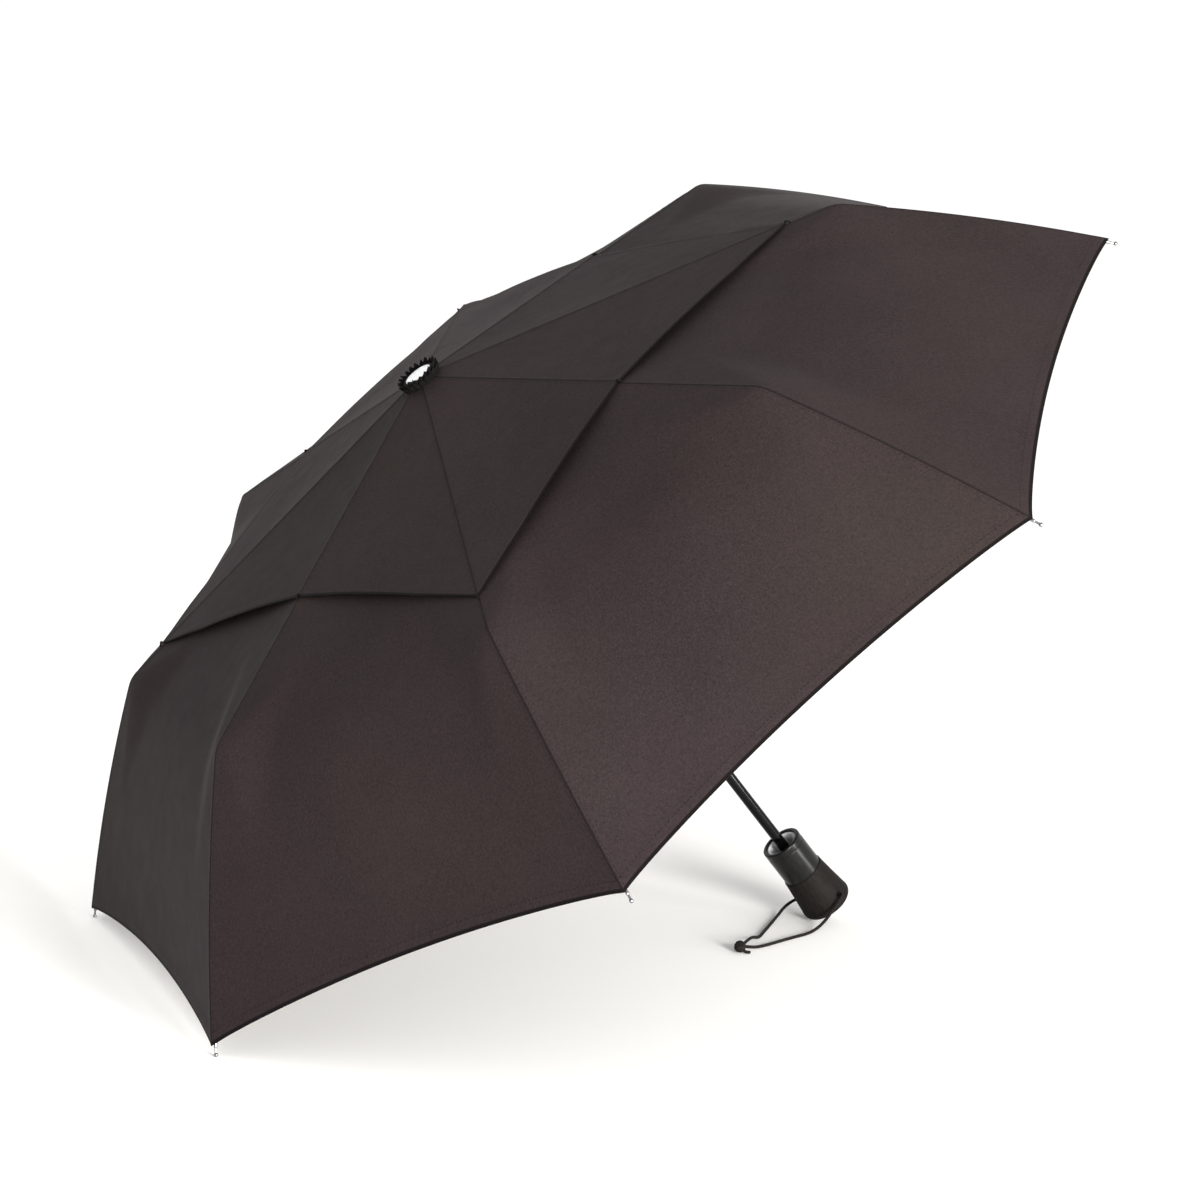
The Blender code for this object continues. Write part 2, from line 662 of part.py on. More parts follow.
def build_sleeve(handle):
    bore = LOWER_TUBE + GAP
    floor = HANDLE_RIM - CUP_DEPTH
    profile = [
        (CUP_RADIUS, floor),
        (CUP_RADIUS, HANDLE_RIM - 0.0006),
        (CUP_RADIUS + 0.0006, HANDLE_RIM),
        (SLEEVE_RADIUS - 0.0010, HANDLE_RIM),
        (SLEEVE_RADIUS - 0.0003, HANDLE_RIM - 0.0003),
        (SLEEVE_RADIUS, HANDLE_RIM - 0.0010),
        (SLEEVE_RADIUS, HANDLE_SPLIT + GAP),
        (SPIGOT_RADIUS, HANDLE_SPLIT + GAP),
        (SPIGOT_RADIUS, SPIGOT_END),
        (bore, SPIGOT_END),
        (bore, floor),
    ]
    sleeve = turned("handle_sleeve", profile, 36)
    azimuth = math.radians(BUTTON_DEG)
    outside = SLEEVE_RADIUS + 2 * BUTTON_PROUD
    middle = on_rib((BUTTON_POCKET + outside) / 2, BUTTON_HEIGHT, azimuth)
    size = (outside - BUTTON_POCKET, BUTTON_WIDE + 2 * GAP, BUTTON_LONG + 2 * GAP)
    cut(sleeve, box_at("button_pocket", size, middle, azimuth))
    finish(sleeve, HANDLE_PLASTIC, handle)


def build_liner(handle):
    """The ring that lines the mouth of the cup."""
    outer, inner = CUP_RADIUS - GAP, LINER_BORE
    top, bottom = HANDLE_RIM - 0.0016, HANDLE_RIM - CUP_DEPTH + GAP
    profile = [(inner, bottom), (inner, top - 0.0008), (inner + 0.0008, top), (outer, top), (outer, bottom)]
    finish(turned("cup_liner", profile, 36), LINER_PLASTIC, handle)


def build_grip(handle):
    """A rubber grip that steps out from the sleeve and flares to a rounded end."""
    cavity = SPIGOT_RADIUS + GRIP_WALL_GAP
    bore = LOWER_TUBE + GAP
    profile = [(0, LOWER_TUBE_END - GAP), (bore, LOWER_TUBE_END - GAP), (bore, SPIGOT_END - GAP)]
    profile += [(cavity, SPIGOT_END - GAP), (cavity, HANDLE_SPLIT), (GRIP_TOP_RADIUS - 0.0005, HANDLE_SPLIT)]
    for share in (0.03, 0.25, 0.5, 0.75, 1):
        flare = GRIP_TOP_RADIUS + (GRIP_END_RADIUS - GRIP_TOP_RADIUS) * share**1.3
        profile.append((flare, HANDLE_SPLIT + (GRIP_EDGE[1] - HANDLE_SPLIT) * share))
    for angle in (18, 36, 54, 72, 90):
        turn = math.radians(angle)
        profile.append(
            (GRIP_EDGE[0] + GRIP_ROUNDING * math.cos(turn), GRIP_EDGE[1] - GRIP_ROUNDING * math.sin(turn))
        )
    profile.append((0, HANDLE_END))
    grip = turned("grip", profile, 36)
    for side, turn in (("near", 0), ("far", 180)):
        azimuth = math.radians(CORD_HOLE_DEG + turn)
        start, end = (on_rib(radius, CORD_HOLE_HEIGHT, azimuth) for radius in (CORD_HOLE_FLOOR, CORD_HOLE_PAST))
        cut(grip, wire(f"cord_hole_{side}", [start, end], CORD_HOLE_RADIUS, 3))
    finish(grip, GRIP_RUBBER, handle)


def build_button(button, handle):
    azimuth = math.radians(BUTTON_DEG)
    foot = BUTTON_POCKET + BUTTON_TRAVEL_ROOM
    face = SLEEVE_RADIUS + BUTTON_PROUD
    bm = bmesh.new()
    bmesh.ops.create_cube(bm, size=1)
    bmesh.ops.scale(bm, vec=(face - foot, BUTTON_WIDE, BUTTON_LONG), verts=bm.verts)
    upright = [e for e in bm.edges if abs(e.verts[0].co.x - e.verts[1].co.x) > 0.001]
    bmesh.ops.bevel(bm, geom=upright, offset=0.0022, segments=3, profile=0.5, affect="EDGES")
    rim = [e for e in bm.edges if min(v.co.x for v in e.verts) > (face - foot) / 2 - 0.00001]
    bmesh.ops.bevel(bm, geom=rim, offset=0.0006, segments=2, profile=0.5, affect="EDGES")
    middle = on_rib((face + foot) / 2, BUTTON_HEIGHT, azimuth)
    bmesh.ops.transform(
        bm, matrix=Matrix.Translation(middle) @ Matrix.Rotation(azimuth, 4, "Z"), verts=bm.verts
    )
    finish(object_from(bm, "push_button"), HANDLE_PLASTIC, button)

    room = foot - BUTTON_POCKET - 2 * BUTTON_SEAT
    spring = coil("button_spring", BUTTON_COIL, BUTTON_WIRE, 0, room, BUTTON_TURNS, 8)
    seat = on_rib(BUTTON_POCKET + BUTTON_SEAT, BUTTON_HEIGHT, azimuth)
    outward = Matrix.Rotation(azimuth, 4, "Z") @ Matrix.Rotation(math.radians(90), 4, "Y")
    spring.data.transform(Matrix.Translation(seat) @ outward)
    finish(spring, SPRING_STEEL, handle)


# ---- the wrist cord, in scene axes: it lies on the ground ----

KNOT_PLACE = Vector((0.1130, -0.0664, KNOT_RADIUS))
NEAR_ROUTE = [
    Vector((0.2234, -0.0214, 0.0254)),
    Vector((0.2190, -0.0248, 0.0215)),
    Vector((0.2125, -0.0265, 0.0145)),
    Vector((0.2050, -0.0295, 0.0080)),
    Vector((0.1945, -0.0355, 0.0036)),
    Vector((0.1839, -0.0400, 0.0016)),
    Vector((0.1711, -0.0450, 0.0014)),
    Vector((0.1557, -0.0515, 0.0014)),
    Vector((0.1404, -0.0583, 0.0014)),
    Vector((0.1285, -0.0632, 0.0021)),
]
FAR_ROUTE = [
    Vector((0.2073, 0.0222, 0.0125)),
    Vector((0.2045, 0.0266, 0.0100)),
    Vector((0.1990, 0.0275, 0.0068)),
    Vector((0.1924, 0.0238, 0.0042)),
    Vector((0.1840, 0.0150, 0.0022)),
    Vector((0.1756, 0.0050, 0.0014)),
    Vector((0.1645, -0.0095, 0.0014)),
    Vector((0.1534, -0.0237, 0.0014)),
    Vector((0.1425, -0.0375, 0.0018)),
    Vector((0.1300, -0.0500, 0.0056)),
]


def build_cord(handle):
    """One loop through the grip: a strand from each side, both into the knot."""
    for side, turn, route in (("near", 0, NEAR_ROUTE), ("far", 180, FAR_ROUTE)):
        azimuth = math.radians(CORD_HOLE_DEG + turn)
        exits = [LYING @ on_rib(radius, CORD_HOLE_HEIGHT, azimuth) for radius in (CORD_START_RADIUS, CORD_OUT_RADIUS)]
        last = route[-1]
        into_knot = KNOT_PLACE + (last - KNOT_PLACE).normalized() * (KNOT_RADIUS + GAP)
        points = smooth_route([*exits, *route, into_knot], 2.6 * CORD_RADIUS)
        strand = wire(f"wrist_cord_{side}", points, CORD_RADIUS)
        finish(strand, CORD_BRAID, handle, Matrix.Identity(4))
    bm = bmesh.new()
    bmesh.ops.create_icosphere(bm, subdivisions=2, radius=KNOT_RADIUS - 0.0001)
    bmesh.ops.translate(bm, vec=KNOT_PLACE, verts=bm.verts)
    finish(object_from(bm, "cord_knot"), CORD_BRAID, handle, Matrix.Identity(4))


def build_umbrella():
    handle = new_empty("handle_body", (0, 0, HANDLE_RIM))
    middle = new_empty("middle_tube_slide", (0, 0, MIDDLE_TUBE_END), 0, handle)
    crown = new_empty("top_tube_slide", (0, 0, TOP_TUBE_END), 0, middle)
    runner = new_empty("runner_slide", (0, 0, RUNNER_HEIGHT), 0, crown)
    button_place = on_rib(SLEEVE_RADIUS, BUTTON_HEIGHT, math.radians(BUTTON_DEG))
    button = new_empty("button_slide", button_place, math.radians(BUTTON_DEG), handle)
    build_sleeve(handle)
    build_liner(handle)
    build_grip(handle)
    build_button(button, handle)
    build_shaft(handle, middle, crown)
    build_drive_spring(handle)
    build_crown(crown)
    build_cap(crown)
    build_runner(runner)
    for number in range(1, RIBS + 1):
        build_rib_chain(number, crown, runner)
    build_lower_canopy(crown)
    build_vent_canopy(crown)
    build_tie_strap(crown)
    build_cord(handle)


build_umbrella()
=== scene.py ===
"""The looks of a three-fold compact umbrella with a vented double canopy, lying open on the ground.

Shapes are given in the umbrella's own axes: +Z runs up the shaft to the cap, and z = 0 is the level of the rib
tips. LYING leans them until two rib tips and the grip stand on the ground, z = 0 of the scene.
"""

import math
import random

import bmesh
import bpy
from mathutils import Matrix, Vector


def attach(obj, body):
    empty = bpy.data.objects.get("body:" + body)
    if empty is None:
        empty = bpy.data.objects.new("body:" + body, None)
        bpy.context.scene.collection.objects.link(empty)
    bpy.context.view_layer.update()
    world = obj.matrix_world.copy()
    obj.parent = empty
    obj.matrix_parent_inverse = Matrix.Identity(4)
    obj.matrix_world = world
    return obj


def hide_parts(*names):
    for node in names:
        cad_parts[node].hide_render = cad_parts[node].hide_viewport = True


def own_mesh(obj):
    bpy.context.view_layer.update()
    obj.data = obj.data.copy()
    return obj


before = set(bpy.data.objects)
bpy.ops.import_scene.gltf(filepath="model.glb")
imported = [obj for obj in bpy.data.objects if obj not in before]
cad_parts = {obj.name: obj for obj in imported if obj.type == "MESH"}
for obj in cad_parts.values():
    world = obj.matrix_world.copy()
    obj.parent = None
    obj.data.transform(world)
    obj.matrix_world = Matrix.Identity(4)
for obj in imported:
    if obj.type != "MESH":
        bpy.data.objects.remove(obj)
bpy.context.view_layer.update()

# ---- the umbrella's dimensions, in metres ----
LEAN = 0.6799789681
LIFT = 0.2860376010
LYING = Matrix.Translation((0, 0, LIFT)) @ Matrix.Rotation(-LEAN, 4, "Y")

RIBS = 8
GORE_HALF = math.pi / RIBS
FIRST_RIB = math.radians(-22.5)
TIP_RADIUS = 0.480
KNEE_RADIUS = 0.328
KNEE_HEIGHT = 0.1432
CROWN_SLOPE = 0.2091  # drop per metre of radius, from the crown out to the knee
KNEE_SLOPE = math.radians(39.5)
TIP_SLOPE = 2 * math.atan2(KNEE_HEIGHT, TIP_RADIUS - KNEE_RADIUS) - KNEE_SLOPE
BEND_RADIUS = math.hypot(TIP_RADIUS - KNEE_RADIUS, KNEE_HEIGHT) / (2 * math.sin((TIP_SLOPE - KNEE_SLOPE) / 2))
HEM_BOW = 0.0135
HEM_FULLNESS = 0.8
HEM_SAG = 0.0075  # of the cloth midway between two ribs, at the hem
INNER_SAG = 0.0034  # the same, between the crown and the knees
VENT_INNER = 0.160
VENT_CORNER = 0.291
VENT_LIFT = 0.0015
VENT_HEM_BOW = 0.006
ELBOW_RADIUS = 0.1676
CANOPY_HOLE = 0.0128
CLOTH = 0.0005

RIB_DROP = 0.0028
RIB_SIDE = 0.0009
CROWN_PIVOT = (0.011, 0.2066847)
ELBOW_PIVOT = (0.1676129, 0.1739370)
KNEE_PIVOT = (0.327, 0.1406091)
STRUT_FOOT = (0.012, 0.1441394)
STRUT_MEET = (0.1069254, 0.1866267)

HANDLE_RIM = -0.281
HANDLE_SPLIT = -0.3134
HANDLE_END = -0.353
CUP_DEPTH = 0.0175
CORD_HOLE_DEG = -64.0
CORD_HOLE_HEIGHT = -0.343
CORD_EXIT = (0.0180, 0.0212)  # radii between which the cord runs straight out of its hole
CORD_RADIUS = 0.00125
KNOT_RADIUS = 0.0048


def rib_azimuth(number):
    """Azimuth of rib 1 to 8, counted clockwise seen from above."""
    return FIRST_RIB - (number - 1) * 2 * GORE_HALF


def on_rib(radius, height, azimuth, side=0.0):
    """A point in a rib's plane, moved sideways along its hinge axis."""
    out = Vector((math.cos(azimuth), math.sin(azimuth), 0))
    across = Vector((-math.sin(azimuth), math.cos(azimuth), 0))
    return out * radius + across * side + Vector((0, 0, height))


# ---- camera ----
camera = bpy.data.objects.new("camera", bpy.data.cameras.new("camera"))
camera.location = (-0.90886025, -2.28649795, 0.72864166)
camera.rotation_euler = [math.radians(turn) for turn in (79.55702, -1.18055, -21.78874)]
camera.data.sensor_width = 36
camera.data.lens = 96.82
bpy.context.scene.collection.objects.link(camera)
bpy.context.scene.camera = camera


# ---- finishes ----


class Value:
    """A shader socket that takes part in sums. Each sum adds a Math node."""

    def __init__(self, finish, socket):
        self.finish = finish
        self.socket = socket

    def math(self, operation, *terms):
        return self.finish.node("ShaderNodeMath", {"operation": operation}, dict(enumerate(terms)))

    def __add__(self, other):
        return self.math("ADD", self, other)

    def __sub__(self, other):
        return self.math("SUBTRACT", self, other)

    def __rsub__(self, other):
        return self.math("SUBTRACT", other, self)

    def __mul__(self, other):
        return self.math("MULTIPLY", self, other)

    def __abs__(self):
        return self.math("ABSOLUTE", self)


class Finish:
    """A Principled material and the nodes that feed it."""

    def __init__(self, name, **constants):
        self.material = bpy.data.materials.new(name)
        self.material.use_nodes = True
        self.tree = self.material.node_tree
        self.shader = self.tree.nodes["Principled BSDF"]
        for socket, value in constants.items():
            self.shader.inputs[socket.replace("_", " ")].default_value = value

    def node(self, kind, settings=None, inputs=None, output=0):
        """A node with its settings, then its inputs: values, or sockets to link."""
        made = self.tree.nodes.new(kind)
        for name, value in (settings or {}).items():
            if name == "stops":
                self.set_stops(made.color_ramp, value)
            else:
                setattr(made, name, value)
        for key, value in (inputs or {}).items():
            if isinstance(value, Value):
                self.tree.links.new(value.socket, made.inputs[key])
            else:
                made.inputs[key].default_value = value
        return Value(self, made.outputs[output])

    def set_stops(self, ramp, stops):
        while len(ramp.elements) < len(stops):
            ramp.elements.new(0.5)
        for element, (position, colour) in zip(ramp.elements, stops, strict=True):
            element.position = position
            element.color = (*colour, 1)

    def feed(self, **sockets):
        for name, value in sockets.items():
            self.tree.links.new(value.socket, self.shader.inputs[name.replace("_", " ")])
        return self.material

    def place(self, kind="Object"):
        return self.node("ShaderNodeTexCoord", output=kind)

    def along_shaft(self):
        """Object coordinates turned into the umbrella's own axes."""
        stood = LYING.inverted()
        settings = {"vector_type": "POINT"}
        inputs = {"Vector": self.place(), "Location": stood.translation, "Rotation": stood.to_euler()}
        return self.node("ShaderNodeMapping", settings, inputs)

    def stretched(self, vector, scale):
        return self.node("ShaderNodeMapping", None, {"Vector": vector, "Scale": scale})

    def noise(self, vector, scale, detail=3.0, roughness=0.5):
        inputs = {"Vector": vector, "Scale": scale, "Detail": detail, "Roughness": roughness}
        return self.node("ShaderNodeTexNoise", None, inputs)

    def wave(self, vector, scale, axis):
        settings = {"wave_type": "BANDS", "bands_direction": axis, "wave_profile": "SIN"}
        return self.node("ShaderNodeTexWave", settings, {"Vector": vector, "Scale": scale})

    def fall(self, value, near, far):
        """1 where value is under near, easing to 0 at far."""
        settings = {"interpolation_type": "SMOOTHSTEP"}
        inputs = {"Value": value, "From Min": near, "From Max": far, "To Min": 1.0, "To Max": 0.0}
        return self.node("ShaderNodeMapRange", settings, inputs)

    def spread(self, value, low, high):
        """value from 0 to 1 made to run from low to high."""
        return self.node("ShaderNodeMapRange", None, {"Value": value, "To Min": low, "To Max": high})

    def mixed(self, share, first, second):
        settings = {"data_type": "RGBA"}
        return self.node("ShaderNodeMix", settings, {0: share, 6: first, 7: second}, output=2)

    def bump(self, height, strength, distance, under=None):
        inputs = {"Height": height, "Strength": strength, "Distance": distance}
        if under is not None:
            inputs["Normal"] = under
        return self.node("ShaderNodeBump", None, inputs)


def colour(red, green, blue):
    """A colour as a shader socket takes it."""
    return (red, green, blue, 1.0)


WAVE_FACTOR = 20 / (2 * math.pi)  # bands per metre that a wave node draws at a scale of 1
WEAVE_SCALE = 520.0  # threads per metre
STITCH_SCALE = 330  # stitches per metre
STITCH_HALF = (0.00015, 0.00035)  # a row of stitches is whole this near its line, and gone at the second distance
RIB_STITCHES = 0.0024  # from the sewn line over a rib to the stitches beside it
HEM_STITCHES = 0.0062  # from the hem's edge to its row of stitches
CREASE = (0.0005, 0.0014)  # how far the dark line over a sewn seam reaches, whole and faded out: partly the seam's own darker cloth, partly painted shade in the seam
HEM_EDGE_SHADE = (0.0014, 0.0025)  # how far the painted shade at the hem's edge reaches, whole and faded out
# the colour of the seams and stitches, and of the painted shade along the seams and at the hem's edge
SEWN_DARK_AND_SHADE = (0.0022, 0.0015, 0.0016)


def threads(finish, vector, per_metre):
    """Plain weave: warp over weft in turn, 0 in the gaps and 1 on the threads."""
    warp = finish.wave(vector, per_metre / WAVE_FACTOR, "X")
    weft = finish.wave(vector, per_metre / WAVE_FACTOR, "Y")
    return warp * weft + (1 - warp) * (1 - weft)


def pongee(name, dark, violet, brown, sewn):
    """Tightly woven polyester with a faint sheen, shot between a violet and a brown black. The pattern map's X is the
    distance from the sewn line over the rib and its Y the distance from the hem, both in metres."""
    cloth = Finish(
        name,
        Sheen_Weight=0.01,
        Sheen_Roughness=0.35,
        Sheen_Tint=colour(1.0, 0.86, 0.88),
        Specular_IOR_Level=0.09,
        Specular_Tint=colour(1.0, 0.88, 0.90),
    )
    plane = cloth.place("UV")
    weave = threads(cloth, plane, WEAVE_SCALE)
    slub = cloth.noise(cloth.stretched(plane, (1.0, 0.25, 1.0)), 900, 2)
    cloudy = cloth.noise(cloth.place(), 7, 4, 0.55)
    grain = cloth.spread(cloth.noise(cloth.place(), 620, 2, 0.8), -0.6, 1.6)
    tone = cloth.spread(cloudy, -0.25, 1.25) * 0.3 + grain * 0.45 + slub * 0.25
    shot = cloth.spread(cloth.noise(cloth.place(), 4, 2), -0.7, 1.7)
    base = cloth.mixed(tone, dark, cloth.mixed(shot, violet, brown))
    relief = cloth.bump(weave * 0.5 + slub * 0.2 + grain * 0.3, 0.4, 0.00014)
    if sewn:
        sides = cloth.node("ShaderNodeSeparateXYZ", None, {"Vector": plane})
        up = Value(cloth, sides.socket.node.outputs["Y"])
        beside = abs(sides)
        # the dark line over the rib: partly the seam's own darker cloth, partly painted shade in the seam
        crease = cloth.fall(beside, *CREASE)
        row_one = cloth.fall(abs(beside - RIB_STITCHES), *STITCH_HALF)
        row_two = cloth.fall(abs(up - HEM_STITCHES), *STITCH_HALF)
        # painted shade: a dark band along the hem's edge, as if in the shadow of the folded hem and of the gap under
        # the upper canopy's hem
        edge = cloth.fall(up, *HEM_EDGE_SHADE)
        along = cloth.wave(cloth.stretched(plane, (0.0, 1.0, 0.0)), STITCH_SCALE / WAVE_FACTOR, "Y")
        across = cloth.wave(cloth.stretched(plane, (1.0, 0.0, 0.0)), STITCH_SCALE / WAVE_FACTOR, "X")
        stitches = row_one * cloth.fall(along, 0.35, 0.6) + row_two * cloth.fall(across, 0.35, 0.6)
        # the seam lines with their painted shade, and the painted shade at the hem's edge
        seams_and_painted_shade = crease.math("MAXIMUM", crease * 0.65, edge * 0.97)
        # shade holds the stitches' own dark thread as well as the painted shade of the seams and the hem's edge
        shade = seams_and_painted_shade.math("MAXIMUM", seams_and_painted_shade, stitches * 0.55)
        base = cloth.mixed(shade, base, colour(*SEWN_DARK_AND_SHADE))
        relief = cloth.bump(1 - seams_and_painted_shade + stitches * 0.5, 0.6, 0.0003, relief)
    rough = cloth.spread(cloth.noise(plane, 60, 3), 0.62, 0.78)
    return cloth.feed(Base_Color=base, Roughness=rough, Normal=relief)


def moulded(name, tones, roughness, grain, **constants):
    """Moulded plastic or rubber with slight handling marks. Its tones and its roughness each run between two values,
    and its fine spark-eroded grain has a scale and a depth in metres."""
    stuff = Finish(name, **constants)
    dark, light = (colour(*tone) for tone in tones)
    grain_scale, grain_depth = grain
    place = stuff.place()
    pits = stuff.noise(place, grain_scale, 3, 0.6)
    smear = stuff.noise(place, 60, 4, 0.6)
    scuffs = stuff.noise(stuff.stretched(stuff.along_shaft(), (220, 220, 30)), 3.0, 5, 0.7)
    base = stuff.mixed(stuff.fall(scuffs, 0.35, 0.6), light, dark)
    rough = stuff.spread(smear * 0.6 + scuffs * 0.4, *roughness)
    return stuff.feed(Base_Color=base, Roughness=rough, Normal=stuff.bump(pits, 0.5, grain_depth))


def drawn_metal(name, tones, roughness, metallic, streak=(260, 260, 6), **constants):
    """Drawn or rolled metal with faint lines. Its tones and its roughness each run between two values, and streak is
    the scale of the lines across, across and along the shaft."""
    metal = Finish(name, Metallic=metallic, **constants)
    dark, light = (colour(*tone) for tone in tones)
    lines = metal.noise(metal.stretched(metal.along_shaft(), streak), 4.0, 4, 0.65)
    blotch = metal.noise(metal.place(), 45, 3)
    base = metal.mixed(blotch * 0.5 + lines * 0.5, dark, light)
    rough = metal.spread(lines * 0.6 + blotch * 0.4, *roughness)
    return metal.feed(Base_Color=base, Roughness=rough, Normal=metal.bump(lines, 0.25, 0.00004))


def braid(name):
    """A round braided cord: two sets of strands crossing. The pattern map's X runs along it and its Y round it."""
    cord = Finish(name, Sheen_Weight=0.01, Sheen_Roughness=0.4, Specular_IOR_Level=0.06)
    plane = cord.place("UV")
    crossings, strands_round = 620.0, 2.0  # per metre of cord, and round it
    right, left = (
        cord.wave(cord.stretched(plane, (crossings, way * strands_round, 1.0)), 1.0 / WAVE_FACTOR, "DIAGONAL")
        for way in (1, -1)
    )
    strands = right.math("MAXIMUM", right, left)
    fuzz = cord.noise(cord.place(), 2600, 2)
    base = cord.mixed(strands * 0.7 + fuzz * 0.3, colour(0.002, 0.0018, 0.0016), colour(0.016, 0.0145, 0.013))
    relief = cord.bump(strands * 0.8 + fuzz * 0.2, 0.8, 0.0003)
    return cord.feed(Base_Color=base, Roughness=cord.spread(fuzz, 0.7, 0.95), Normal=relief)


CANOPY_CLOTH = pongee(
    "charcoal_pongee",
    colour(0.0050, 0.0034, 0.0038),
    colour(0.0320, 0.0215, 0.0250),
    colour(0.0320, 0.0240, 0.0215),
    True,
)
RUFFLE_CLOTH = pongee(
    "black_ruffle_cloth",
    colour(0.0010, 0.0010, 0.0010),
    colour(0.0060, 0.0050, 0.0056),
    colour(0.0060, 0.0054, 0.0050),
    False,
)
SLEEVE_PLASTIC = moulded(
    "satin_black_plastic",
    tones=((0.0025, 0.0025, 0.0026), (0.0060, 0.0058, 0.0055)),
    roughness=(0.20, 0.32),
    grain=(1500, 0.00002),
    Specular_IOR_Level=0.10,
    Coat_Weight=0.18,
    Coat_Roughness=0.28,
)
GRIP_RUBBER = moulded(
    "soft_grip_rubber",
    tones=((0.0045, 0.0036, 0.0030), (0.0085, 0.0070, 0.0060)),
    roughness=(0.50, 0.75),
    grain=(2200, 0.00006),
    Specular_IOR_Level=0.07,
)
LINER_PLASTIC = moulded(
    "pale_grey_liner",
    tones=((0.62, 0.62, 0.64), (0.80, 0.80, 0.82)),
    roughness=(0.18, 0.32),
    grain=(900, 0.00001),
)
HUB_PLASTIC = moulded(
    "black_nylon",
    tones=((0.0050, 0.0050, 0.0055), (0.0130, 0.0130, 0.0135)),
    roughness=(0.34, 0.55),
    grain=(1800, 0.00003),
    Specular_IOR_Level=0.25,
)
SHAFT_STEEL = drawn_metal(
    "black_chrome_tube",
    tones=((0.008, 0.008, 0.0085), (0.020, 0.020, 0.021)),
    roughness=(0.10, 0.20),
    metallic=0.95,
)
RIB_STEEL = drawn_metal(
    "blacked_rib_steel",
    tones=((0.016, 0.016, 0.018), (0.050, 0.050, 0.053)),
    roughness=(0.28, 0.5),
    metallic=0.85,
    streak=(90, 90, 90),
)
RIB_FIBRE = drawn_metal(
    "rib_fibre",
    tones=((0.008, 0.008, 0.009), (0.020, 0.020, 0.021)),
    roughness=(0.25, 0.45),
    metallic=0.0,
    streak=(120, 120, 120),
    Coat_Weight=0.3,
)
TIP_METAL = drawn_metal(
    "nickel_tip",
    tones=((0.14, 0.14, 0.15), (0.34, 0.34, 0.35)),
    roughness=(0.16, 0.34),
    metallic=1.0,
    streak=(150, 150, 150),
)
SPRING_STEEL = drawn_metal(
    "spring_steel",
    tones=((0.30, 0.30, 0.31), (0.55, 0.55, 0.56)),
    roughness=(0.25, 0.4),
    metallic=1.0,
    streak=(150, 150, 150),
)
CORD_BRAID = braid("black_braid")


def disc_finish():
    """Satin silver disc, turned in fine rings."""
    metal = Finish("satin_silver_disc", Metallic=0.15, Coat_Weight=0.2)
    stood = metal.along_shaft()
    rings = metal.node(
        "ShaderNodeTexWave",
        {"wave_type": "RINGS", "rings_direction": "Z"},
        {"Vector": stood, "Scale": 900 / WAVE_FACTOR, "Distortion": 0.4},
    )
    wear = metal.noise(metal.place(), 260, 4)
    base = metal.mixed(wear, colour(0.86, 0.87, 0.88), colour(0.95, 0.95, 0.96))
    rough = metal.spread(wear * 0.5 + rings * 0.5, 0.22, 0.36)
    return metal.feed(Base_Color=base, Roughness=rough, Normal=metal.bump(rings, 0.2, 0.00002))


CAP_METAL = disc_finish()


# ---- making pieces ----


def piece(bm, name, material, frame_matrix=LYING, sharp_deg=38.0):
    """A finished piece: its place goes into its mesh, and its object stays at the origin."""
    mesh = bpy.data.meshes.new(name)
    bm.to_mesh(mesh)
    bm.free()
    mesh.transform(frame_matrix)
    mesh.materials.append(material)
    mesh.shade_smooth()
    mesh.set_sharp_from_angle(angle=math.radians(sharp_deg))
    obj = bpy.data.objects.new(name, mesh)
    bpy.context.scene.collection.objects.link(obj)
    return obj


def fitted(obj, body, slot, *nodes):
    """Rides a piece on its body, and stands it in for its CAD nodes where it has any."""
    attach(obj, body)
    if nodes:
        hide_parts(*nodes)
    return obj


def thickened(bm, thickness):
    """A sheet given its thickness, to the side away from the way its faces turn."""
    bmesh.ops.solidify(bm, geom=bm.faces, thickness=-thickness)
    bmesh.ops.recalc_face_normals(bm, faces=bm.faces)


def laid_grid(columns, rows, place, pattern):
    """A sheet of columns by rows. place and pattern give each point's place and its place on the pattern map."""
    bm = bmesh.new()
    bmesh.ops.create_grid(bm, x_segments=columns, y_segments=rows, size=0.5)
    layer = bm.loops.layers.uv.new("pattern")
    steps = {v: (round((v.co.x + 0.5) * columns), round((v.co.y + 0.5) * rows)) for v in bm.verts}
    for face in bm.faces:
        for loop in face.loops:
            loop[layer].uv = pattern(*steps[loop.vert])
    for vert, step in steps.items():
        vert.co = place(*step)
    return bm


def eased(corners, steps=4):
    """An outline through (radius, height, ease) corners, each rounded off by its ease."""
    outline = []
    for before, here, after in zip(corners[-1:] + corners[:-1], corners, corners[1:] + corners[:1]):
        corner = Vector(here[:2])
        if not here[2]:
            outline.append(corner)
            continue
        back = corner + (Vector(before[:2]) - corner).normalized() * here[2]
        on = corner + (Vector(after[:2]) - corner).normalized() * here[2]
        for step in range(steps + 1):
            t = step / steps
            outline.append(back * (1 - t) ** 2 + corner * 2 * t * (1 - t) + on * t**2)
    return outline


def turned(outline, sides=96, closed=True):
    """An outline of (radius, height) points, turned about the shaft."""
    bm = bmesh.new()
    points = [bm.verts.new((spot[0], 0, spot[1])) for spot in outline]
    pairs = zip(points, points[1:] + points[:1]) if closed else zip(points, points[1:])
    edges = [bm.edges.new(pair) for pair in pairs if pair[0].co.x > 1e-6 or pair[1].co.x > 1e-6]
    bmesh.ops.spin(
        bm,
        geom=points + edges,
        cent=(0, 0, 0),
        axis=(0, 0, 1),
        angle=2 * math.pi,
        steps=sides,
        use_merge=True,
        use_normal_flip=False,
        use_duplicate=False,
        dvec=(0, 0, 0),
    )
    bmesh.ops.remove_doubles(bm, verts=bm.verts, dist=0.000001)
    bmesh.ops.recalc_face_normals(bm, faces=bm.faces)
    return bm


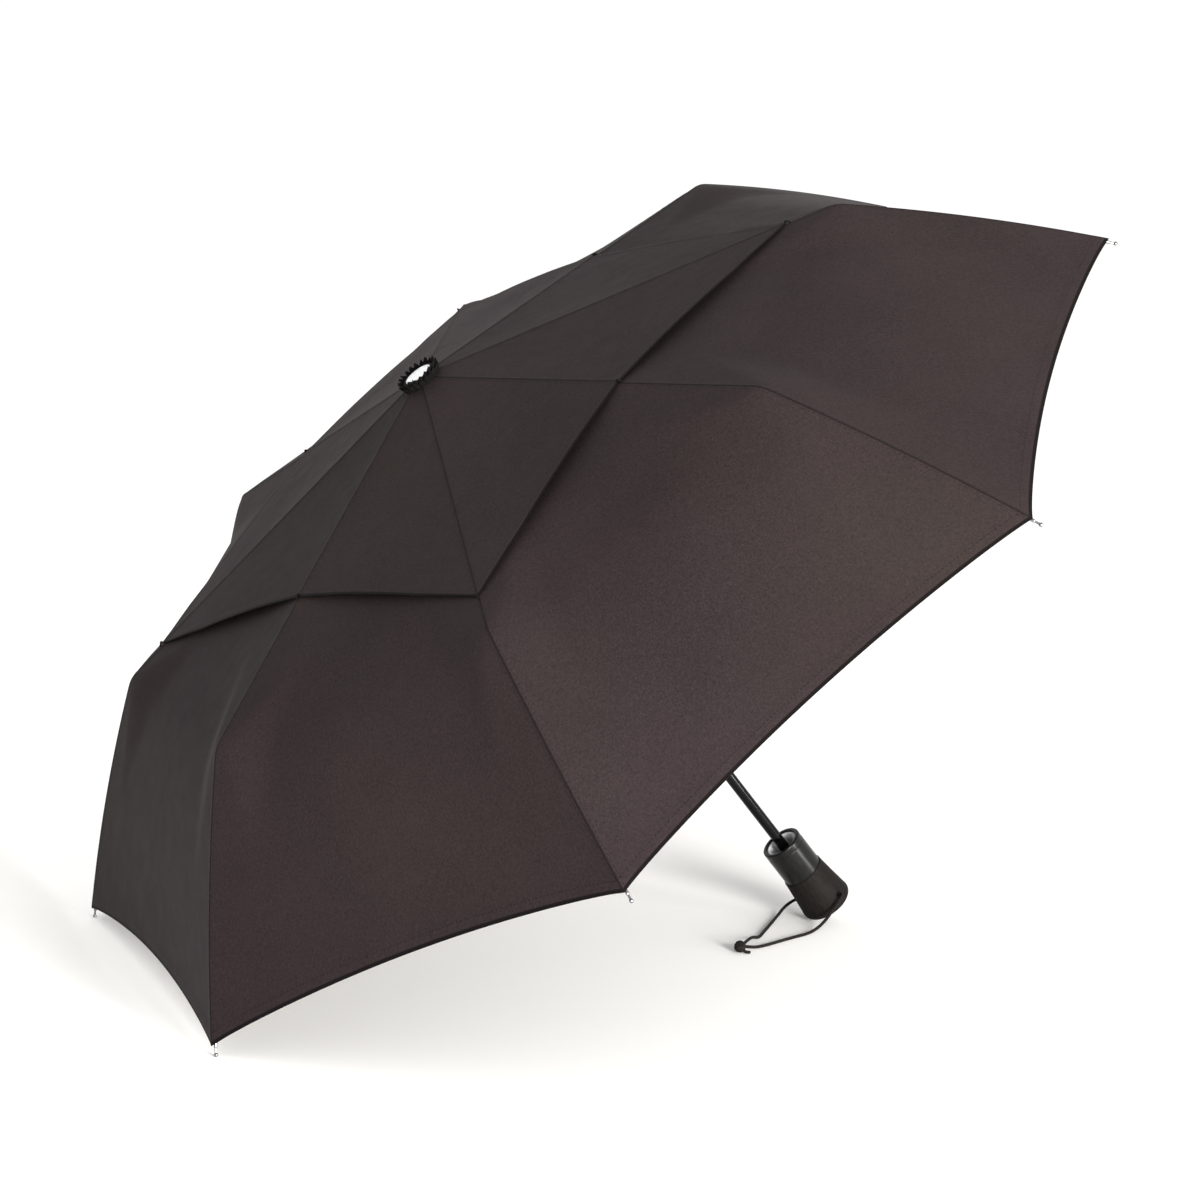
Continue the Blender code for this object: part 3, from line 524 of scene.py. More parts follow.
def smooth_route(points, spacing):
    """Points at an even spacing on the smooth curve through given ones."""
    dense_steps = 24
    ends = [2 * points[0] - points[1], *points, 2 * points[-1] - points[-2]]
    dense = []
    for before, start, end, after in zip(ends, ends[1:], ends[2:], ends[3:]):
        for step in range(dense_steps):
            t = step / dense_steps
            linear = (end - before) * t
            square = (2 * before - 5 * start + 4 * end - after) * t**2
            cubic = (3 * start - before - 3 * end + after) * t**3
            dense.append(0.5 * (2 * start + linear + square + cubic))
    dense.append(points[-1])
    length = sum((b - a).length for a, b in zip(dense, dense[1:]))
    count = max(2, round(length / spacing))
    route, walked, target = [dense[0]], 0.0, length / count
    for a, b in zip(dense, dense[1:]):
        stretch = (b - a).length
        while walked + stretch >= target - 1e-9 and len(route) < count:
            route.append(a.lerp(b, (target - walked) / stretch))
            target += length / count
        walked += stretch
    route.append(dense[-1])
    return route


def tube_along(route, radius_at, sides=16):
    """A round rod or cord along a route, with closed ends. The pattern map runs along it in metres and round it in
    turns."""
    headings = [(b - a).normalized() for a, b in zip(route[:1] + route[:-1], route[1:] + route[-1:])]
    headings[0] = (route[1] - route[0]).normalized()
    side = headings[0].orthogonal().normalized()
    sideways = []
    for heading in headings:
        side = (side - heading * side.dot(heading)).normalized()
        sideways.append(side)
    walked = [0.0]
    for a, b in zip(route, route[1:]):
        walked.append(walked[-1] + (b - a).length)

    def place(i, j):
        turn = Matrix.Rotation(2 * math.pi * i / sides, 3, headings[j])
        return route[j] + turn @ sideways[j] * radius_at(j)

    bm = laid_grid(sides, len(route) - 1, place, lambda i, j: (walked[j], i / sides))
    bmesh.ops.remove_doubles(bm, verts=bm.verts, dist=0.0000005)
    rims = [edge for edge in bm.edges if edge.is_boundary]
    bmesh.ops.holes_fill(bm, edges=rims, sides=0)
    bmesh.ops.recalc_face_normals(bm, faces=bm.faces)
    return bm


# ---- the wrist cord, in scene axes: it lies on the ground ----

KNOT_PLACE = Vector((0.1130, -0.0664, KNOT_RADIUS))
NEAR_ROUTE = [
    (0.2234, -0.0214, 0.0254),
    (0.2190, -0.0248, 0.0215),
    (0.2125, -0.0265, 0.0145),
    (0.2050, -0.0295, 0.0080),
    (0.1945, -0.0355, 0.0036),
    (0.1839, -0.0400, 0.0016),
    (0.1711, -0.0450, 0.0014),
    (0.1557, -0.0515, 0.0014),
    (0.1404, -0.0583, 0.0014),
    (0.1285, -0.0632, 0.0021),
]
FAR_ROUTE = [
    (0.2073, 0.0222, 0.0125),
    (0.2045, 0.0266, 0.0100),
    (0.1990, 0.0275, 0.0068),
    (0.1924, 0.0238, 0.0042),
    (0.1840, 0.0150, 0.0022),
    (0.1756, 0.0050, 0.0014),
    (0.1645, -0.0095, 0.0014),
    (0.1534, -0.0237, 0.0014),
    (0.1425, -0.0375, 0.0018),
    (0.1300, -0.0500, 0.0056),
]
ROUTE_SPACING = 0.0012
KNOT_GAP = 0.0003
KNOT_TURNS = 6
TURN_STEPS = 60
KNOT_LEAN = 0.5  # radians that the middle turns of the knot lean over


def wound_knot():
    """The knot's ball: the cord wound tightly on itself in turns that lie across each other, round a filled core."""
    steps = TURN_STEPS * KNOT_TURNS
    around = KNOT_RADIUS - CORD_RADIUS
    winding = []
    for step in range(steps + 1):
        share = step / steps
        turn = 2 * math.pi * KNOT_TURNS * share
        swing = math.pi * share
        lean = KNOT_LEAN * math.sin(2 * swing)
        on_ring = Vector((math.cos(turn), math.sin(turn) * math.cos(lean), math.sin(turn) * math.sin(lean)))
        winding.append(KNOT_PLACE + Matrix.Rotation(swing, 3, "Y") @ on_ring * around)
    bm = tube_along(winding, lambda _: CORD_RADIUS, 14)
    core = bmesh.ops.create_icosphere(bm, subdivisions=3, radius=KNOT_RADIUS - 0.8 * CORD_RADIUS)
    bmesh.ops.translate(bm, vec=KNOT_PLACE, verts=core["verts"])
    return piece(bm, "knot_ball", CORD_BRAID, Matrix.Identity(4), 60)


def knot_tail():
    """The cord's short end, standing out of the knot."""
    route = smooth_route(
        [
            KNOT_PLACE + Vector((0.0010, -0.0028, -0.0018)),
            KNOT_PLACE + Vector((0.0030, -0.0052, -0.0032)),
            KNOT_PLACE + Vector((0.0062, -0.0066, -0.0034)),
        ],
        0.0008,
    )
    last = len(route) - 1
    bm = tube_along(route, lambda j: CORD_RADIUS * (1 if j < last else 0.75), 14)
    return piece(bm, "knot_tail", CORD_BRAID, Matrix.Identity(4), 60)


def build_cord():
    knot = fitted(wound_knot(), "handle", "cord_braid", "cord_knot")
    tail = fitted(knot_tail(), "handle", "cord_braid")
    for side, turn, route in (("near", 0, NEAR_ROUTE), ("far", 180, FAR_ROUTE)):
        azimuth = math.radians(CORD_HOLE_DEG + turn)
        exits = [LYING @ on_rib(radius, CORD_HOLE_HEIGHT, azimuth) for radius in CORD_EXIT]
        lying = [Vector(place) for place in route]
        into_knot = KNOT_PLACE + (lying[-1] - KNOT_PLACE).normalized() * (KNOT_RADIUS + KNOT_GAP)
        points = smooth_route([*exits, *lying, into_knot], ROUTE_SPACING)
        length = sum((b - a).length for a, b in zip(points, points[1:]))
        strand = piece(tube_along(points, lambda _: CORD_RADIUS), f"cord_{side}", CORD_BRAID, Matrix.Identity(4), 60)
        fitted(strand, "handle", "cord_braid", f"wrist_cord_{side}")
        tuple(exits[0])


build_cord()


# ---- the canopy ----

SOFT_AT_RIB = 0.006  # half the length over which the cloth turns at the knee: on a rib, and away from it
SOFT_BETWEEN = 0.085
SOFT_REACHED = 0.05  # how far from the rib the turn has its full length
SEAM_RAISE = 0.0005
SEAM_WIDTH = 0.0016
PUCKER_DEPTH = 0.00022
PUCKER_FADES = 0.009
PUCKER_STARTS = 0.004
PUCKER_WAVES = 520  # radians per metre along the seam
COLUMN_CROWDING = 1.35  # draws the cloth's columns in towards the rib
PETAL_COLUMNS = 32
VENT_SAG = 0.0012
VENT_RISE = 0.0020  # how far the upper canopy's hem stands up between two ribs
HEM_ROWS = (0.0084, 0.0076, 0.0012, 0.0)  # distances of the last rows of cloth in from the hem's edge
HEM_DEPTH = 0.008
HEM_RAISE = 0.00012  # the doubled cloth of the hem stands this much over the rest
HEM_EDGE_DROP = 0.8  # the share of it that the edge itself drops again
TACK_RADIUS = 0.0007
CLEAR_OF_HEM = 0.05  # added on the pattern map of cloth with no hem, so that it gets no hem stitches


def canopy_slope(radius):
    return math.asin(min(1.0, math.sin(KNEE_SLOPE) + (radius - KNEE_RADIUS) / BEND_RADIUS))


def canopy_height(radius):
    """Height of the canopy over a rib, straight to the knee and then one arc to the tip."""
    if radius <= KNEE_RADIUS:
        return KNEE_HEIGHT + CROWN_SLOPE * (KNEE_RADIUS - radius)
    return KNEE_HEIGHT + BEND_RADIUS * (math.cos(canopy_slope(radius)) - math.cos(KNEE_SLOPE))


def softened_height(radius, soft):
    """canopy_height with the knee's corner eased over soft to each side."""
    inside = max(0.0, soft - abs(radius - KNEE_RADIUS))
    return canopy_height(radius) - (math.tan(KNEE_SLOPE) - CROWN_SLOPE) * inside**2 / (4 * soft)


def ease(value, low, high):
    """0 up to low, easing to 1 from high on."""
    t = min(1.0, max(0.0, (value - low) / (high - low)))
    return t * t * (3 - 2 * t)


def round_share(across):
    """How far round the gore, from 0 on one rib to 0.5 midway, a point this share of the way across is."""
    return 0.5 - math.atan((1 - abs(across)) * math.tan(GORE_HALF)) / (2 * GORE_HALF)


def hem_reach(number, across):
    """The hem of the lower canopy, bowed in between two ribs. A reach is a distance out along a rib's own line."""
    share = round_share(across)
    return TIP_RADIUS - HEM_BOW * (4 * share * (1 - share)) ** HEM_FULLNESS


def vent_hem_reach(number, across):
    """The upper canopy is four-cornered: a corner on every odd rib and a nearly straight hem between."""
    share = round_share(across) / 2
    if number % 2 == 0:
        share = 0.5 - share
    quarter = math.pi / 2
    turn = quarter * share
    radius = VENT_CORNER * math.cos(quarter / 2) / math.cos(turn - quarter / 2)
    radius -= VENT_HEM_BOW * 4 * share * (1 - share)
    from_middle = turn % (2 * GORE_HALF) - GORE_HALF
    return radius * math.cos(from_middle) / math.cos(GORE_HALF)


def lower_sag(reach):
    """How far the lower canopy hangs midway between two ribs: a little before the knees, and more towards the hem."""
    inner = ease(reach, 0.10, 0.22) * (1 - ease(reach, 0.29, 0.34))
    return INNER_SAG * inner + HEM_SAG * ease(reach, KNEE_RADIUS, TIP_RADIUS)


def vent_sag(reach):
    """The same for the upper canopy, whose hem stands up from the lower one."""
    inner = ease(reach, 0.03, 0.10) * (1 - ease(reach, 0.14, 0.20))
    return VENT_SAG * inner - VENT_RISE * ease(reach, 0.17, 0.23)


def gore_place(number, across, reach, lift, sag):
    """A point of the cloth that is sewn over a rib, and its distance from the rib, negative to the right. across is 0
    on the rib and 1 or -1 midway to the next one."""
    azimuth = rib_azimuth(number)
    share = abs(across) / 2
    towards = azimuth + math.copysign(2 * GORE_HALF, across)
    out = on_rib(1, 0, azimuth) * (1 - share) + on_rib(1, 0, towards) * share
    from_rib = share * 2 * reach * math.sin(GORE_HALF)
    soft = SOFT_AT_RIB + (SOFT_BETWEEN - SOFT_AT_RIB) * ease(from_rib, 0.0, SOFT_REACHED)
    height = softened_height(reach, soft) + lift
    height -= sag(reach) * 4 * share * (1 - share)
    height += SEAM_RAISE * math.exp(-((from_rib / SEAM_WIDTH) ** 2))
    pucker = math.exp(-from_rib / PUCKER_FADES) * math.sin(reach * PUCKER_WAVES + number * 1.7)
    height += PUCKER_DEPTH * pucker * ease(from_rib, 0.0, PUCKER_STARTS)
    return Vector((out.x * reach, out.y * reach, height)), math.copysign(from_rib, across)


def cloth_petal(name, number, side, start, end, lift, sag, rows, hemmed):
    """The cloth from a rib to the middle of the gore on its left, side 1, or its right, side -1. start and end give
    the reach of its two edges."""
    tail = len(HEM_ROWS) if hemmed else 0

    def across_of(i):
        share = min(0, side) + i / PETAL_COLUMNS
        return math.copysign(abs(share) ** COLUMN_CROWDING, side)

    def reach_of(i, j):
        across = across_of(i)
        first, last = start(number, across), end(number, across)
        if j > rows - tail:
            return last - HEM_ROWS[j - rows + tail - 1], last
        stop = last - HEM_ROWS[0] if hemmed else last
        return first + (stop - first) * j / (rows - tail + (1 if hemmed else 0)), last

    def place(i, j):
        reach, last = reach_of(i, j)
        raised = HEM_RAISE if hemmed and last - reach < HEM_DEPTH else 0.0
        raised -= HEM_RAISE * HEM_EDGE_DROP if hemmed and last - reach < 0.0001 else 0.0
        return gore_place(number, across_of(i), reach, lift + raised, sag)[0]

    def pattern(i, j):
        reach, last = reach_of(i, j)
        beside = gore_place(number, across_of(i), reach, 0, sag)[1]
        return beside, last - reach if hemmed else CLEAR_OF_HEM + last - reach

    bm = laid_grid(PETAL_COLUMNS, rows, place, pattern)
    bm.normal_update()
    thickened(bm, CLOTH)
    return piece(bm, name, CANOPY_CLOTH, LYING, 62)


def fold_axis(number, side, start, end):
    """The direction in which the cloth on one side of a rib lies off it, square to the rib between two radii."""
    azimuth = rib_azimuth(number)
    along = on_rib(end - start, canopy_height(end) - canopy_height(start), azimuth).normalized()
    off = on_rib(1, 0, azimuth + side * 2 * GORE_HALF) - on_rib(1, 0, azimuth)
    return LYING.to_3x3() @ (off - along * off.dot(along))


def sewn_cloth(obj, number, side, body, node, start, end, middle_share):
    """Rides a petal on its rib in place of its CAD node, and gives it a mesh of its own.
    middle_share is its length midway between two ribs, as a share of its length on the rib."""
    fitted(obj, body, "canopy_cloth", node)
    anchor = LYING @ on_rib(start, canopy_height(start), rib_azimuth(number))
    fold_axis(number, side, start, end)
    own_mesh(obj)
    length = math.hypot(end - start, canopy_height(end) - canopy_height(start))
    wide, narrow = (reach * math.sin(GORE_HALF) for reach in (end, start))
    area = length * (1 + middle_share) / 2 * (wide + narrow) / 2


def square_edge(radius):
    """The reach of a strip's edge that crosses its rib squarely at this radius."""
    return lambda number, across: radius / (1 - abs(across) / 2 * (1 - math.cos(2 * GORE_HALF)))


def build_canopy():
    """Both canopies, in strips that meet at the ribs' joints and midway between two ribs."""
    hem = TIP_RADIUS - HEM_BOW / 2
    for number in range(1, RIBS + 1):
        flap = (vent_hem_reach(number, 0) + vent_hem_reach(number, 1)) / 2
        strips = (
            ("lower_canopy", "middle", "middle", VENT_INNER, KNEE_RADIUS, square_edge(KNEE_RADIUS), 36),
            ("lower_canopy", "outer", "outer", KNEE_RADIUS, hem, hem_reach, 44),
            ("vent_canopy", "inner", "inner", CANOPY_HOLE, ELBOW_RADIUS, square_edge(ELBOW_RADIUS), 36),
            ("vent_canopy", "flap", "middle", ELBOW_RADIUS, flap, vent_hem_reach, 28),
        )
        for node, strip, rib, start, end, edge, rows in strips:
            lift, sag = (0, lower_sag) if node == "lower_canopy" else (VENT_LIFT, vent_sag)
            for side, hand in ((1, "left"), (-1, "right")):
                name = f"{node}_{strip}_{number}_{hand}"
                hemmed = strip in ("outer", "flap")
                petal = cloth_petal(name, number, side, square_edge(start), edge, lift, sag, rows, hemmed)
                middle = edge(number, 1) - square_edge(start)(number, 1)
                sewn_cloth(petal, number, side, f"{rib}_rib_{number}", node, start, end, middle / (end - start))
        build_tack(number)


def build_tack(number):
    """A thread tack that holds the upper canopy's hem down on the lower one, over a rib."""
    azimuth = rib_azimuth(number)
    hem = vent_hem_reach(number, 0)
    above = VENT_LIFT + CLOTH + SEAM_RAISE
    spots = ((-0.0016, above), (-0.0002, above + 0.0004), (0.0008, above - 0.0006), (0.0022, CLOTH + SEAM_RAISE))
    route = smooth_route([on_rib(hem + out, canopy_height(hem + out) + up, azimuth) for out, up in spots], 0.0004)
    tack = piece(tube_along(route, lambda _: TACK_RADIUS, 10), f"vent_tack_{number}", RUFFLE_CLOTH, LYING, 60)
    fitted(tack, f"middle_rib_{number}", "ruffle_cloth")


# ---- the ribs ----

BAR_DEPTH = 0.0026
BAR_WIDTH = 0.0015
BAR_WALL = 0.0003
RIVET_RADIUS = 0.0010
RIVET_HEADS = 0.0004  # how much longer a rivet is than its bar is wide
ROD_STEPS = 40
ROD_RADIUS = 0.00105
ROD_TAPER = 0.00025
CLIP_LENGTH = 0.018
CLIP_DEPTH = 0.0027
CLIP_WIDTH = 0.0020


def rib_frame(number, start, end, side):
    """Axes at the start of a rib bar: X along it, Y along the hinge axis. Its ends are (radius, height)."""
    slope = math.atan2(end[1] - start[1], end[0] - start[0])
    return (
        LYING
        @ Matrix.Rotation(rib_azimuth(number), 4, "Z")
        @ Matrix.Translation((start[0], side, start[1]))
        @ Matrix.Rotation(-slope, 4, "Y")
    )


def round_off(bm, edges, offset, segments, clamp=False):
    return bmesh.ops.bevel(
        bm,
        geom=edges,
        offset=offset,
        segments=segments,
        profile=0.5,
        affect="EDGES",
        material=-1,
        clamp_overlap=clamp,
    )


def add_rivet(bm, along, width, radius):
    """A domed rivet through the bar at a distance along it."""
    made = bmesh.ops.create_cone(bm, cap_ends=True, segments=20, radius1=radius, radius2=radius, depth=width)
    own = [edge for edge in bm.edges if all(vert in made["verts"] for vert in edge.verts)]
    rims = [edge for edge in own if abs(sum(vert.co.z for vert in edge.verts)) > width * 0.9]
    domed = round_off(bm, rims, radius * 0.35, 3, clamp=True)
    verts = {v for v in made["verts"] if v.is_valid} | set(domed["verts"])
    bmesh.ops.transform(
        bm, matrix=Matrix.Translation((along, 0, 0)) @ Matrix.Rotation(math.pi / 2, 4, "X"), verts=list(verts)
    )


def channel_bar(length, depth, width):
    """A pressed channel with rounded ends, open below, and a rivet at each end."""
    wall = BAR_WALL
    bm = bmesh.new()
    bmesh.ops.create_cube(bm, size=1)
    bmesh.ops.scale(bm, vec=(length + depth, width, depth), verts=bm.verts)
    bmesh.ops.translate(bm, vec=(length / 2, 0, 0), verts=bm.verts)
    upright = [e for e in bm.edges if abs(e.verts[0].co.y - e.verts[1].co.y) > width / 2]
    round_off(bm, upright, depth * 0.42, 5)
    below = [f for f in bm.faces if f.normal.z < -0.9]
    bmesh.ops.inset_region(bm, faces=below, thickness=wall, use_even_offset=True)
    bmesh.ops.translate(bm, vec=(0, 0, depth - 2 * wall), verts=list({v for f in below for v in f.verts}))
    bm.normal_update()
    long_edges = [e for e in bm.edges if e.is_manifold and abs(e.verts[0].co.x - e.verts[1].co.x) > length / 2]
    round_off(bm, long_edges, wall * 0.3, 2)
    for along in (0.0, length):
        add_rivet(bm, along, width + RIVET_HEADS, RIVET_RADIUS)
    bmesh.ops.recalc_face_normals(bm, faces=bm.faces)
    return bm


def span(start, end):
    return math.hypot(end[0] - start[0], end[1] - start[1])


def build_bars():
    bars = (
        ("rib_inner", "inner_rib", CROWN_PIVOT, ELBOW_PIVOT, RIB_SIDE),
        ("rib_middle", "middle_rib", ELBOW_PIVOT, KNEE_PIVOT, -RIB_SIDE),
        ("strut", "strut", STRUT_FOOT, STRUT_MEET, -RIB_SIDE),
    )
    for number in range(1, RIBS + 1):
        for node, body, start, end, side in bars:
            bm = channel_bar(span(start, end), BAR_DEPTH, BAR_WIDTH)
            bar = piece(bm, f"{node}_{number}_bar", RIB_STEEL, rib_frame(number, start, end, side), 30)
            fitted(bar, f"{body}_{number}", "rib_steel", f"{node}_{number}")


def under_cloth(radius):
    """Where the middle of an outer rib runs, as (radius, height), under the cloth at this radius."""
    slope = canopy_slope(radius)
    return radius - RIB_DROP * math.sin(slope), canopy_height(radius) - RIB_DROP * math.cos(slope)


def build_outer_ribs():
    """Tapered composite rods, each with a steel clip at the knee and a tip at its end."""
    for number in range(1, RIBS + 1):
        azimuth = rib_azimuth(number)
        reaches = [KNEE_RADIUS + (TIP_RADIUS - KNEE_RADIUS) * step / ROD_STEPS for step in range(1, ROD_STEPS + 1)]
        spots = [KNEE_PIVOT, *map(under_cloth, reaches)]
        route = [on_rib(*spot, azimuth, RIB_SIDE) for spot in spots]
        bm = tube_along(route, lambda j: ROD_RADIUS - ROD_TAPER * j / ROD_STEPS)
        rod = piece(bm, f"rib_outer_{number}_bar", RIB_FIBRE)
        fitted(rod, f"outer_rib_{number}", "rib_fibre", f"rib_outer_{number}")

        bm = channel_bar(CLIP_LENGTH, CLIP_DEPTH, CLIP_WIDTH)
        clip = piece(bm, f"knee_clip_{number}", RIB_STEEL, rib_frame(number, spots[0], spots[5], RIB_SIDE), 30)
        fitted(clip, f"outer_rib_{number}", "rib_steel")

        end = Vector(spots[-1])
        along = Vector((math.cos(TIP_SLOPE), -math.sin(TIP_SLOPE)))
        pin = eased(
            [
                (0.0, -0.0040, 0),
                (0.00125, -0.0040, 0.0003),
                (0.00125, 0.0006, 0.0003),
                (0.00085, 0.0014, 0.0002),
                (0.00085, 0.0046, 0.0003),
                (0.00150, 0.0052, 0.0004),
                (0.00160, 0.0064, 0.0008),
                (0.00060, 0.0074, 0.0003),
                (0.0, 0.0074, 0),
            ]
        )
        bm = turned(pin, 28, closed=False)
        turn = Vector((0, 0, 1)).rotation_difference(Vector((along.x, 0, along.y))).to_matrix().to_4x4()
        bmesh.ops.transform(bm, matrix=Matrix.Translation((end.x, RIB_SIDE, end.y)) @ turn, verts=bm.verts)
        tip = piece(bm, f"rib_tip_{number}_pin", TIP_METAL, LYING @ Matrix.Rotation(azimuth, 4, "Z"))
        fitted(tip, f"outer_rib_{number}", "tip_metal", f"rib_tip_{number}")


build_bars()
build_outer_ribs()
build_canopy()


# ---- the closing strap ----


def build_strap():
    """A doubled strip sewn in at the hem, lying up the gore beside a rib."""
    number, start, end = 7, 0.375, 0.476
    beside, width, thickness, lift = 0.010, 0.018, 0.0007, 0.0009
    columns, rows = 8, 40

    def place(i, j):
        reach = start + (end - start) * j / rows
        across = (beside + width * i / columns) / (reach * math.sin(GORE_HALF))
        return gore_place(number, across, reach, lift, lower_sag)[0]

    def pattern(i, j):
        return width * i / columns - width / 2 + 0.02, 0.1 * j / rows + 0.01

    bm = laid_grid(columns, rows, place, pattern)
    thickened(bm, thickness)
    strap = fitted(
        piece(bm, "closing_strap", CANOPY_CLOTH, LYING, 62), f"outer_rib_{number}", "canopy_cloth", "tie_strap"
    )
    anchor = LYING @ on_rib(KNEE_RADIUS, canopy_height(KNEE_RADIUS), rib_azimuth(number))
    axis = fold_axis(number, 1, KNEE_RADIUS, TIP_RADIUS - HEM_BOW / 2)
    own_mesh(strap)


build_strap()


# ---- the cap ----

RUFFLE_CLOTH_THICKNESS = 0.0004


def build_cap():
    """A gathered ruffle in two rows round a bright disc."""
    shuffle = random.Random(7)
    pleats = 21
    heights = [shuffle.uniform(-0.0008, 0.0011) for _ in range(pleats)]
    leans = [shuffle.uniform(-0.25, 0.25) for _ in range(pleats)]
    pleat_columns, rows = 12, 14
    columns = pleats * pleat_columns

    def frill(inner, flare, low, high, depth, shift):
        """One row of the ruffle, from its inner radius and low edge out and up, pleated deeper towards the top."""

        def place(i, j):
            share = j / rows
            turn = 2 * math.pi * ((i % columns) / columns)
            pleat = int((i % columns) / pleat_columns)
            wave = math.cos(pleats * turn + shift + leans[pleat] * share)
            radius = inner + flare * share**0.8 + depth * share * wave
            height = low + (high + heights[pleat] * share - low) * share + 0.0011 * share * wave
            return on_rib(radius, height, turn)

        bm = laid_grid(columns, rows, place, lambda i, j: (0.09 * i / columns, 0.008 * j / rows))
        bmesh.ops.remove_doubles(bm, verts=bm.verts, dist=0.0000005)
        bmesh.ops.recalc_face_normals(bm, faces=bm.faces)
        thickened(bm, -RUFFLE_CLOTH_THICKNESS)
        return bm

    ruffle = piece(frill(0.0128, 0.0028, 0.2072, 0.2182, 0.0013, 0.0), "cap_ruffle_frill", RUFFLE_CLOTH, LYING, 62)
    fitted(ruffle, "crown", "ruffle_cloth", "cap_ruffle")
    collar = piece(frill(0.0138, 0.0030, 0.2070, 0.2152, 0.0011, 2.4), "cap_ruffle_collar", RUFFLE_CLOTH, LYING, 62)
    fitted(collar, "crown", "ruffle_cloth")
    band = eased(
        [
            (0.0111, 0.2075, 0.0003),
            (0.0111, 0.2160, 0.0006),
            (0.0132, 0.2164, 0.0010),
            (0.0140, 0.2070, 0.0003),
        ]
    )
    fitted(piece(turned(band), "cap_gather_band", RUFFLE_CLOTH), "crown", "ruffle_cloth")

    outline = eased(
        [
            (0.0, 0.21645, 0),
            (0.0070, 0.21635, 0.001),
            (0.0106, 0.2162, 0.0004),
            (0.0112, 0.2158, 0.0002),
            (0.0112, 0.2145, 0.0002),
            (0.0024, 0.2140, 0),
            (0.0024, 0.2095, 0),
            (0.0, 0.2095, 0),
        ]
    )
    disc = piece(turned(outline, closed=False), "cap_disc_face", CAP_METAL)
    fitted(disc, "crown", "cap_metal", "cap_disc")


build_cap()


# ---- shaft, hubs and springs ----


def build_shaft():
    """The three tubes, and the finishes of the hubs and springs, which are shown as CAD made them."""
    wall = 0.0005
    tubes = (
        ("lower_tube", "handle", 0.0044, -0.3445, -0.086),
        ("middle_tube", "middle_tube", 0.0036, -0.106, 0.0568),
        ("top_tube", "crown", 0.0028, 0.0368, 0.2074),
    )
    for node, body, radius, bottom, top in tubes:
        outline = eased(
            [
                (radius - wall, bottom, 0.0001),
                (radius - wall, top, 0.0001),
                (radius, top, 0.0002),
                (radius, bottom, 0.0002),
            ]
        )
        shown = piece(turned(outline, 64), f"{node}_drawn", SHAFT_STEEL)
        fitted(shown, body, "shaft_steel", node)
    finishes = {
        "crown_hub": HUB_PLASTIC,
        "runner": HUB_PLASTIC,
        "drive_spring": SPRING_STEEL,
        "button_spring": SPRING_STEEL,
    }
    for node, material in finishes.items():
        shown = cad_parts[node]
        shown.data.materials.clear()
        shown.data.materials.append(material)
    press_spring("drive_spring")
    press_spring("button_spring")


def press_spring(node):
    """Gives a spring a mesh of its own; it keeps the shape CAD made."""
    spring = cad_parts[node]
    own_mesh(spring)


build_shaft()


# ---- the handle ----


def build_handle():
    """The sleeve with its cup, the cup's pale liner, the socket round the shaft, the grip and the button."""
    floor = HANDLE_RIM - CUP_DEPTH
    sleeve = eased(
        [
            (0.0135, floor, 0),
            (0.0135, HANDLE_RIM, 0.0008),
            (0.0168, HANDLE_RIM, 0.0013),
            (0.0168, -0.2862, 0.0002),
            (0.01655, -0.2865, 0.0001),
            (0.01655, -0.2871, 0.0001),
            (0.0168, -0.2874, 0.0002),
            (0.0168, HANDLE_SPLIT - 0.0005, 0),
            (0.0142, HANDLE_SPLIT - 0.0005, 0),
            (0.0142, -0.334, 0),
            (0.0047, -0.334, 0),
            (0.0047, floor, 0),
        ],
        6,
    )
    body = piece(turned(sleeve, 128), "handle_sleeve_shell", SLEEVE_PLASTIC)
    fitted(body, "handle", "handle_plastic", "handle_sleeve")

    liner = eased(
        [
            (0.0115, floor + 0.0003, 0),
            (0.0115, HANDLE_RIM - 0.0014, 0.0008),
            (0.0132, HANDLE_RIM - 0.0012, 0.0004),
            (0.0132, floor + 0.0003, 0),
        ]
    )
    ring = piece(turned(liner, 128), "cup_liner_ring", LINER_PLASTIC)
    fitted(ring, "handle", "liner_plastic", "cup_liner")

    socket = eased(
        [
            (0.0046, floor + 0.0002, 0),
            (0.0046, floor + 0.0090, 0.0003),
            (0.0062, floor + 0.0090, 0.0008),
            (0.0092, floor + 0.0030, 0.0008),
            (0.0111, floor + 0.0022, 0.0003),
            (0.0111, floor + 0.0002, 0),
        ]
    )
    fitted(piece(turned(socket), "shaft_socket", HUB_PLASTIC), "handle", "handle_plastic")
    build_grip()
    build_button()


FULL_SIDE = 0.19  # the side on which the grip is fuller lies this far round, in radians


def grip_radius(height, azimuth):
    """The flare of the grip, a little fuller on one side."""
    share = min(1.0, max(0.0, (HANDLE_SPLIT - height) / (HANDLE_SPLIT - HANDLE_END)))
    full = 0.0176 + 0.0040 * share**1.15
    return full + 0.0009 * share * max(0.0, math.cos(azimuth + FULL_SIDE))


